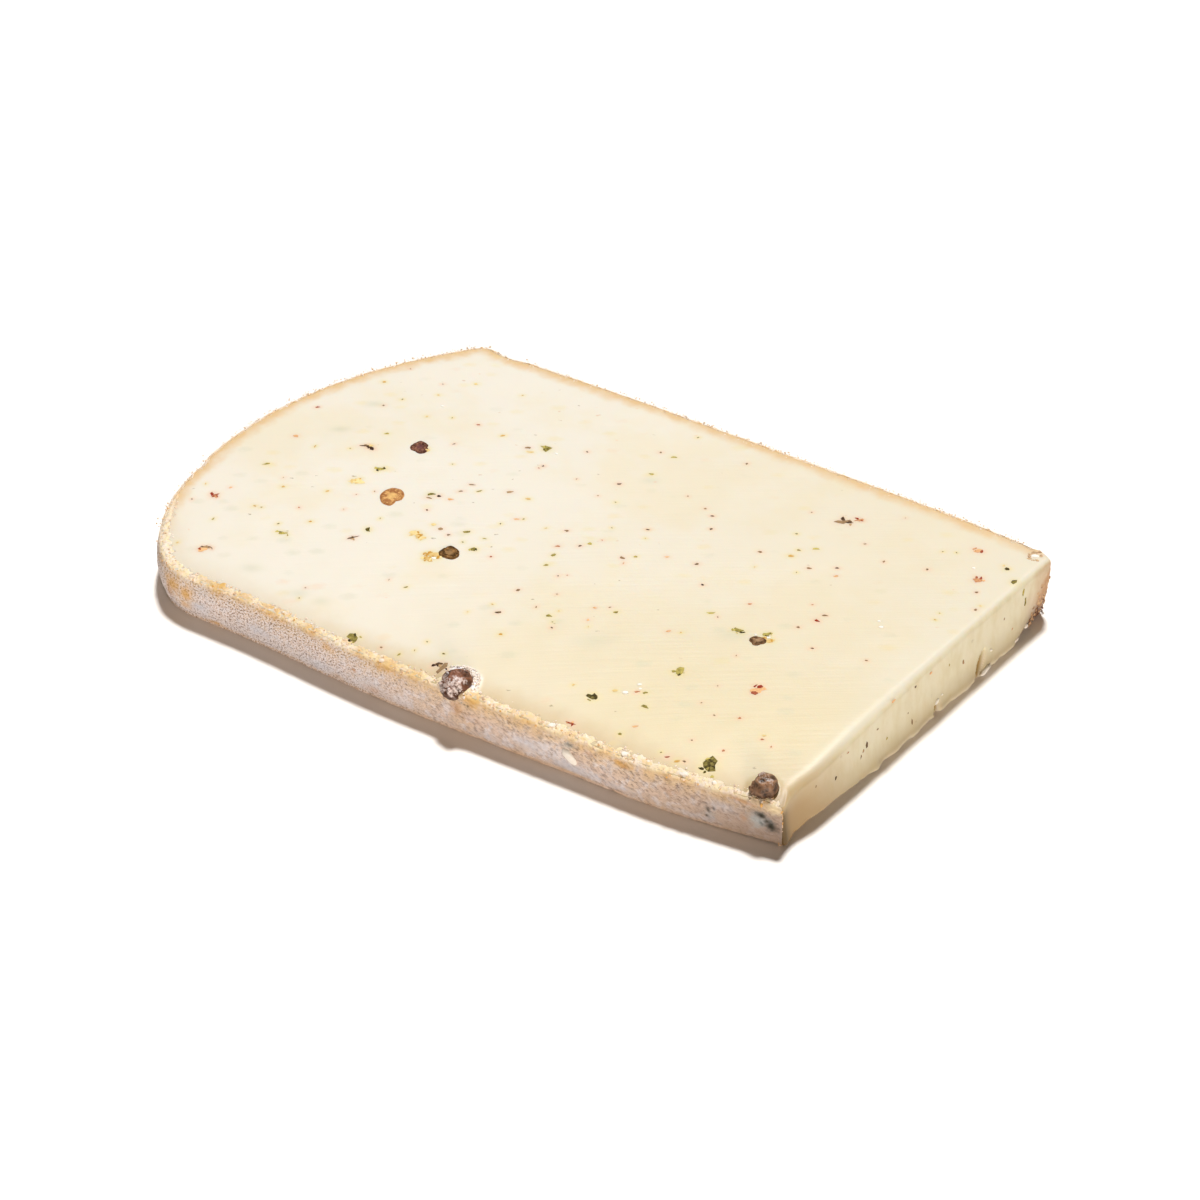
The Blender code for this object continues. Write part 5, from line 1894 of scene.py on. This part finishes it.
@dataclass
class Crumbs:
    """Crumbs of rind along its top edge, and of mould round the peppercorn in it."""

    front_count: int = 1700
    back_count: int = 1200
    mould_count: int = 260
    stack_count: int = 120
    seed: int = 11

    def build(self) -> bpy.types.Object:
        """Scatters the crumbs over the lip."""
        self.rng = np.random.default_rng(self.seed)
        self.shape = crumb_shape()
        self.heap = Grains("rind_crumbs")
        cut_start, cut_end = OUTLINE.side_span(1)
        corner = OUTLINE.side_span(0)[0] + OUTLINE.length
        self.scatter(cut_end + 0.5 * MM, corner, self.back_count, 0.5 * MM, 0.45 * MM, 0.8, 0.2)
        self.scatter(corner - 14 * MM, cut_start + OUTLINE.length - 0.5 * MM, self.front_count,
                     1.35 * MM, 0.6 * MM, 1.0, 0.7)
        self.ring()
        self.stack(cut_start + OUTLINE.length)
        return self.heap.build()

    def scatter(self, start: float, end: float, count: int, inset: float, spread: float,
                scale: float, brown: float) -> None:
        """Strews crumbs along part of the lip.

        Args:
            start: where the part starts, round the outline.
            end: where it ends.
            count: how many crumbs.
            inset: how far in from the outline they lie.
            spread: how much that varies.
            scale: their size beside that of the largest.
            brown: how brown those at the outline are, from 0 to 1.
        """
        rng = self.rng
        strip = OUTLINE.sample(rng.uniform(start, end, count))
        insets = rng.normal(inset, spread, count)
        places = strip.place + strip.inward * insets[:, None]
        tops = paste_top(places)
        for place, top, inward in zip(places, tops, insets):
            size = float(np.clip(rng.lognormal(-1.95, 0.4), 0.07, 0.38)) * MM * scale
            tone = brown - 0.5 * float(inward / (2.2 * MM)) + rng.normal(0, 0.22)
            self.drop(place, top + rng.uniform(-0.12, 0.02) * MM, size, float(tone))

    def ring(self) -> None:
        """White crumbs on the mould beside the peppercorn."""
        rng = self.rng
        for _ in range(self.mould_count):
            turn = math.radians(rng.normal(MOULD.facing, MOULD.spread * 0.5))
            away = rng.uniform(MOULD.near, MOULD.far)
            place = np.array([MOULD.x + away * math.cos(turn), MOULD.y + away * math.sin(turn)])
            top = float(paste_top(place[None])[0])
            self.drop(place, top + rng.uniform(-0.1, 0.08) * MM, rng.uniform(0.12, 0.32) * MM,
                      float(rng.uniform(-0.4, 0.05)))

    def stack(self, corner: float) -> None:
        """Crumbs up the broken end of the front rind, by the corner that lies at that distance."""
        rng = self.rng
        strip = OUTLINE.sample(corner - rng.uniform(-0.1 * MM, 0.7 * MM, self.stack_count))
        heights = rng.uniform(0.3 * MM, 7.9 * MM, self.stack_count)
        for place, outward, height in zip(strip.place, strip.outward, heights):
            self.drop(place - outward * 0.12 * MM, height, rng.uniform(0.08, 0.2) * MM,
                      float(rng.uniform(0.4, 1.2)))

    def drop(self, place: Points, height: float, size: float, tone: float) -> None:
        """Puts one crumb down."""
        jitter = 1 + self.rng.uniform(-0.3, 0.3, (len(self.shape.points), 1))
        points = self.shape.points * jitter * size * self.rng.uniform(0.6, 1.2, 3)
        points = points + [*place, height]
        points[:, 2] = np.maximum(points[:, 2], 0.0)
        self.heap.put(points, self.shape.faces, tone)


@dataclass(frozen=True)
class Lump:
    """A torn bit of paste or rind that sticks to the slice: place, half sizes and turn."""

    place: tuple[float, float, float]
    size: tuple[float, float, float]
    turn: tuple[float, float, float] = (0.0, 0.0, 0.0)
    tone: float = 0.2


FRONT_BITS = (
    (29.3, -0.3, 4.6, (1.8, 0.4, 1.0), (0, 36, 1), 0.0),
    (24.6, 1.4, 8.5, (0.8, 0.6, 0.4), (10, -10, 20), 0.1),
    (40.0, 1.3, 8.5, (0.7, 0.6, 0.35), (0, 15, -10), 0.1),
    (51.7, 1.4, 8.6, (0.9, 0.6, 0.4), (5, 0, 15), 0.15),
    (57.6, 1.6, 8.6, (0.7, 0.5, 0.35), (0, 10, 0), 0.1),
    (-38.6, 1.0, 8.5, (0.7, 0.5, 0.35), (0, -8, 0), 0.4),
    (-12.0, 1.1, 8.5, (0.6, 0.5, 0.35), (0, 8, 30), 0.3),
    (11.6, 1.0, 8.4, (0.6, 0.5, 0.35), (0, 20, 0), 0.2),
    (-57.0, 1.2, 8.7, (0.6, 0.45, 0.3), (0, 0, 30), 0.4),
)

TOP_BITS = (
    (31.7, -32.6, 0.4, 20), (32.7, -29.5, 0.28, 40), (33.4, -30.4, 0.2, 0), (-20.2, -18.4, 0.3, 10),
    (-19.7, 22.6, 0.25, 0), (45.6, -6.1, 0.28, 30), (43.2, -6.6, 0.2, 0), (-38.2, -8.4, 0.22, 0),
    (61.4, 7.6, 0.3, 30), (60.2, 9.0, 0.22, 0), (-48.0, 24.4, 0.25, 20), (66.8, 33.0, 0.22, 0),
    (74.6, 42.6, 0.5, 33),
)

END_BITS = (
    (20.4, 0.6, 0.5, 1.9, 0.5, 6, -0.3), (22.8, 3.6, 0.25, 0.3, 0.25, 0, 0.0),
    (6.2, 3.4, 0.2, 0.25, 0.2, 0, 0.0), (35.0, 1.9, 0.4, 0.5, 0.4, 20, 0.1),
    (31.3, 1.1, 0.3, 0.8, 0.25, 10, 0.1), (4.4, 2.9, 0.3, 0.7, 0.3, 30, -0.1),
)


@dataclass
class Lumps:
    """The torn bits of paste, and the broken crust by the back corner."""

    roughness: float = 0.25
    crust_count: int = 80
    seed: int = 31

    def pale(self) -> bpy.types.Object:
        """Bits of paste and pale crumbs."""
        bits = [self.on_front(*row) for row in FRONT_BITS]
        bits += [self.on_end(*row) for row in END_BITS]
        return self.build("paste_lumps", bits + [self.on_top(*row) for row in TOP_BITS])

    def brown(self) -> bpy.types.Object:
        """Broken crust down the end by the back corner, and a crumbling curl of it on the top."""
        rng = np.random.default_rng(self.seed)
        bits = []
        for _ in range(self.crust_count):
            height = 0.6 + 7.4 * float(rng.uniform()) ** 2
            across = rng.uniform(35.6 + 0.55 * height, 44.6)
            sizes = rng.uniform(0.12, 0.4, 3) * [0.6, 1.0, 1.3]
            tone = rng.uniform(0.1, 1.2) - 0.08 * height
            bits.append(self.on_end(across, height, *sizes, rng.uniform(0, 60), tone))
        for turn in np.linspace(0.3, 5.6, 22):
            x, y = rng.normal([74.6 + 1.0 * math.cos(turn), 42.6 + 1.4 * math.sin(turn)], 0.24)
            bits.append(self.on_top(x, y, rng.uniform(0.12, 0.3), rng.uniform(0, 180),
                                    rng.uniform(-0.3, 0.5)))
        return self.build("crust_lumps", bits)

    def build(self, name: str, bits: list[Lump]) -> bpy.types.Object:
        """Dents and lays each bit."""
        shape, heap = crumb_shape(2 if len(bits) > 40 else 3), Grains(name)
        for seed, lump in enumerate(bits):
            uneven = (1 + self.roughness * grain(shape.points, 0.9, 90 + seed)
                      + 0.12 * grain(shape.points, 0.35, 190 + seed))
            points = shape.points * uneven[:, None] * lump.size
            turn = Euler([math.radians(angle) for angle in lump.turn]).to_matrix()
            points = points @ np.array(turn).T + lump.place
            points[:, 2] = np.maximum(points[:, 2], 0.0)
            heap.put(points * MM, shape.faces, lump.tone)
        return heap.build()

    def on_front(self, x: float, inset: float, height: float, size: tuple[float, float, float],
                 turn: tuple[float, float, float], tone: float) -> Lump:
        """A bit on the front rind, given in millimetres along it, in from it and up."""
        fine = OUTLINE.sample(np.linspace(*OUTLINE.side_span(0), 600))
        front = float(np.interp(x * MM, fine.place[:, 0], fine.place[:, 1])) / MM
        return Lump((x, front + inset, height), size, turn, tone)

    def on_top(self, x: float, y: float, size: float, turn: float, tone: float = -0.4) -> Lump:
        """A low bit on the top, given in millimetres."""
        height = float(paste_top(np.array([[x * MM, y * MM]]))[0]) / MM
        return Lump((x, y, height), (size * 1.5, size, size * 0.4), (0, 0, turn), tone)

    def on_end(self, across: float, height: float, thick: float, broad: float, tall: float,
               turn: float, tone: float) -> Lump:
        """A bit on the cut end, given in millimetres across and up it."""
        out = float(end_face(np.array([across * MM]), np.array([height * MM]))[0]) / MM
        return Lump((out, across, height), (thick, broad, tall), (turn, 0, 0), tone)


# ---------------------------------------------------------------------------
# Studio
# ---------------------------------------------------------------------------


@dataclass
class Studio:
    """The table, the lights and the camera."""

    target: tuple[float, float, float] = (4.6 * MM, 0.75 * MM, 0.0)
    azimuth: float = 33.0
    elevation: float = 36.0
    distance: float = 719.7 * MM
    field_of_view: float = 18.0
    sun_way: tuple[float, float, float] = (-0.187, 0.418, 0.889)
    sun_power: float = 3.9
    sun_colour: Colour = (0.97, 0.99, 1.0)
    front_azimuth: float = 45.0
    front_elevation: float = 2.0
    front_power: float = 3.1
    front_breadth: float = 24.0
    front_colour: Colour = (1.0, 0.88, 0.78)
    room_colour: Colour = (1.0, 0.76, 0.56)
    room_power: float = 0.11
    table_colour: Colour = (0.97, 0.915, 0.865)

    def build(self) -> None:
        """Sets everything up."""
        self.lay_table()
        self.hang_lights()
        self.place_camera()
        bpy.context.scene.view_settings.view_transform = "Standard"

    def lay_table(self) -> None:
        """A wide pale table."""
        deselect()
        bpy.ops.mesh.primitive_plane_add(size=6.0, location=(0, 0, 0))
        table = named("table")
        material, _, shader = new_material("table_white", 0.9, 0.1)
        shader.inputs["Base Color"].default_value = (*self.table_colour, 1.0)
        table.data.materials.append(material)

    def hang_lights(self) -> None:
        """A high window behind the slice, a low warm one before it, and a little light all round."""
        self.hang_window("high_window", Vector(self.sun_way), self.sun_power, self.sun_colour, 8.0)
        self.hang_window("front_window", self.way(self.front_azimuth, self.front_elevation),
                         self.front_power, self.front_colour, self.front_breadth)
        world = bpy.data.worlds.new("room")
        world.use_nodes = True
        back = world.node_tree.nodes["Background"]
        back.inputs["Color"].default_value = (*self.room_colour, 1.0)
        back.inputs["Strength"].default_value = self.room_power
        bpy.context.scene.world = world

    def hang_window(self, name: str, way: Vector, power: float, colour: Colour,
                    breadth: float) -> None:
        """One far light.

        Args:
            name: the light's name.
            way: the direction it comes from.
            power: its strength.
            colour: its colour.
            breadth: how wide it looks, in degrees.
        """
        lamp = bpy.data.lights.new(name, "SUN")
        lamp.energy, lamp.color, lamp.angle = power, colour, math.radians(breadth)
        window = bpy.data.objects.new(name, lamp)
        window.rotation_euler = way.to_track_quat("Z", "Y").to_euler()
        bpy.context.scene.collection.objects.link(window)

    def way(self, azimuth: float, elevation: float) -> Vector:
        """The direction from the slice towards a place round it."""
        turn, rise = math.radians(azimuth), math.radians(elevation)
        return Vector((math.sin(turn) * math.cos(rise), -math.cos(turn) * math.cos(rise),
                       math.sin(rise)))

    def place_camera(self) -> None:
        """The camera looks down on the front of the slice from a long way off."""
        lens = bpy.data.cameras.new("camera")
        lens.sensor_width = 36.0
        lens.lens = 18.0 / math.tan(math.radians(self.field_of_view / 2))
        camera = bpy.data.objects.new("camera", lens)
        way = self.way(self.azimuth, self.elevation)
        camera.location = Vector(self.target) + way * self.distance
        camera.rotation_euler = way.to_track_quat("Z", "Y").to_euler()
        bpy.context.scene.collection.objects.link(camera)
        bpy.context.scene.camera = camera


def main() -> None:
    """Builds the slice piece by piece."""
    logging.basicConfig(level=logging.INFO, format="%(name)s %(message)s")
    Studio().build()
    groups = Groups(mottle_group(), speck_group(), streak_group())
    flakes = Flakes()
    paste = Paste().build(flakes.all)
    finish_piece(paste, PasteFinish().material(groups), ("cheese_slice",))
    finish_piece(Rind().build(), RindFinish().material(groups))
    for corn in CORNS:
        finish_piece(corn.build(), corn.material(groups), (corn.name,))
    finishes = {
        Kind.HERB: SimpleFinish("herb_green", tint(200, 182, 96), tint(62, 52, 14), spread=1.5),
        Kind.PEPPER: SimpleFinish("pepper_brown", tint(190, 154, 112), tint(62, 40, 26)),
        Kind.CHILLI: SimpleFinish("chilli_red", tint(236, 186, 132), tint(146, 50, 32)),
        Kind.STRAW: SimpleFinish("straw", tint(240, 218, 156), tint(196, 144, 60)),
    }
    for kind, piece in flakes.build().items():
        finish_piece(piece, finishes[kind].material())
    crumbs = SimpleFinish("rind_crumb", tint(244, 232, 220), tint(222, 172, 100), 0.8, spread=0.6)
    finish_piece(Crumbs().build(), crumbs.material())
    lumps = SimpleFinish("paste_lump", tint(246, 242, 232), tint(206, 160, 100), 0.7, spread=0.5)
    finish_piece(Lumps().pale(), lumps.material())
    crust = SimpleFinish("rind_brown", tint(206, 172, 134), tint(104, 70, 54), 0.7)
    finish_piece(Lumps().brown(), crust.material())


if __name__ == "__main__":
    main()
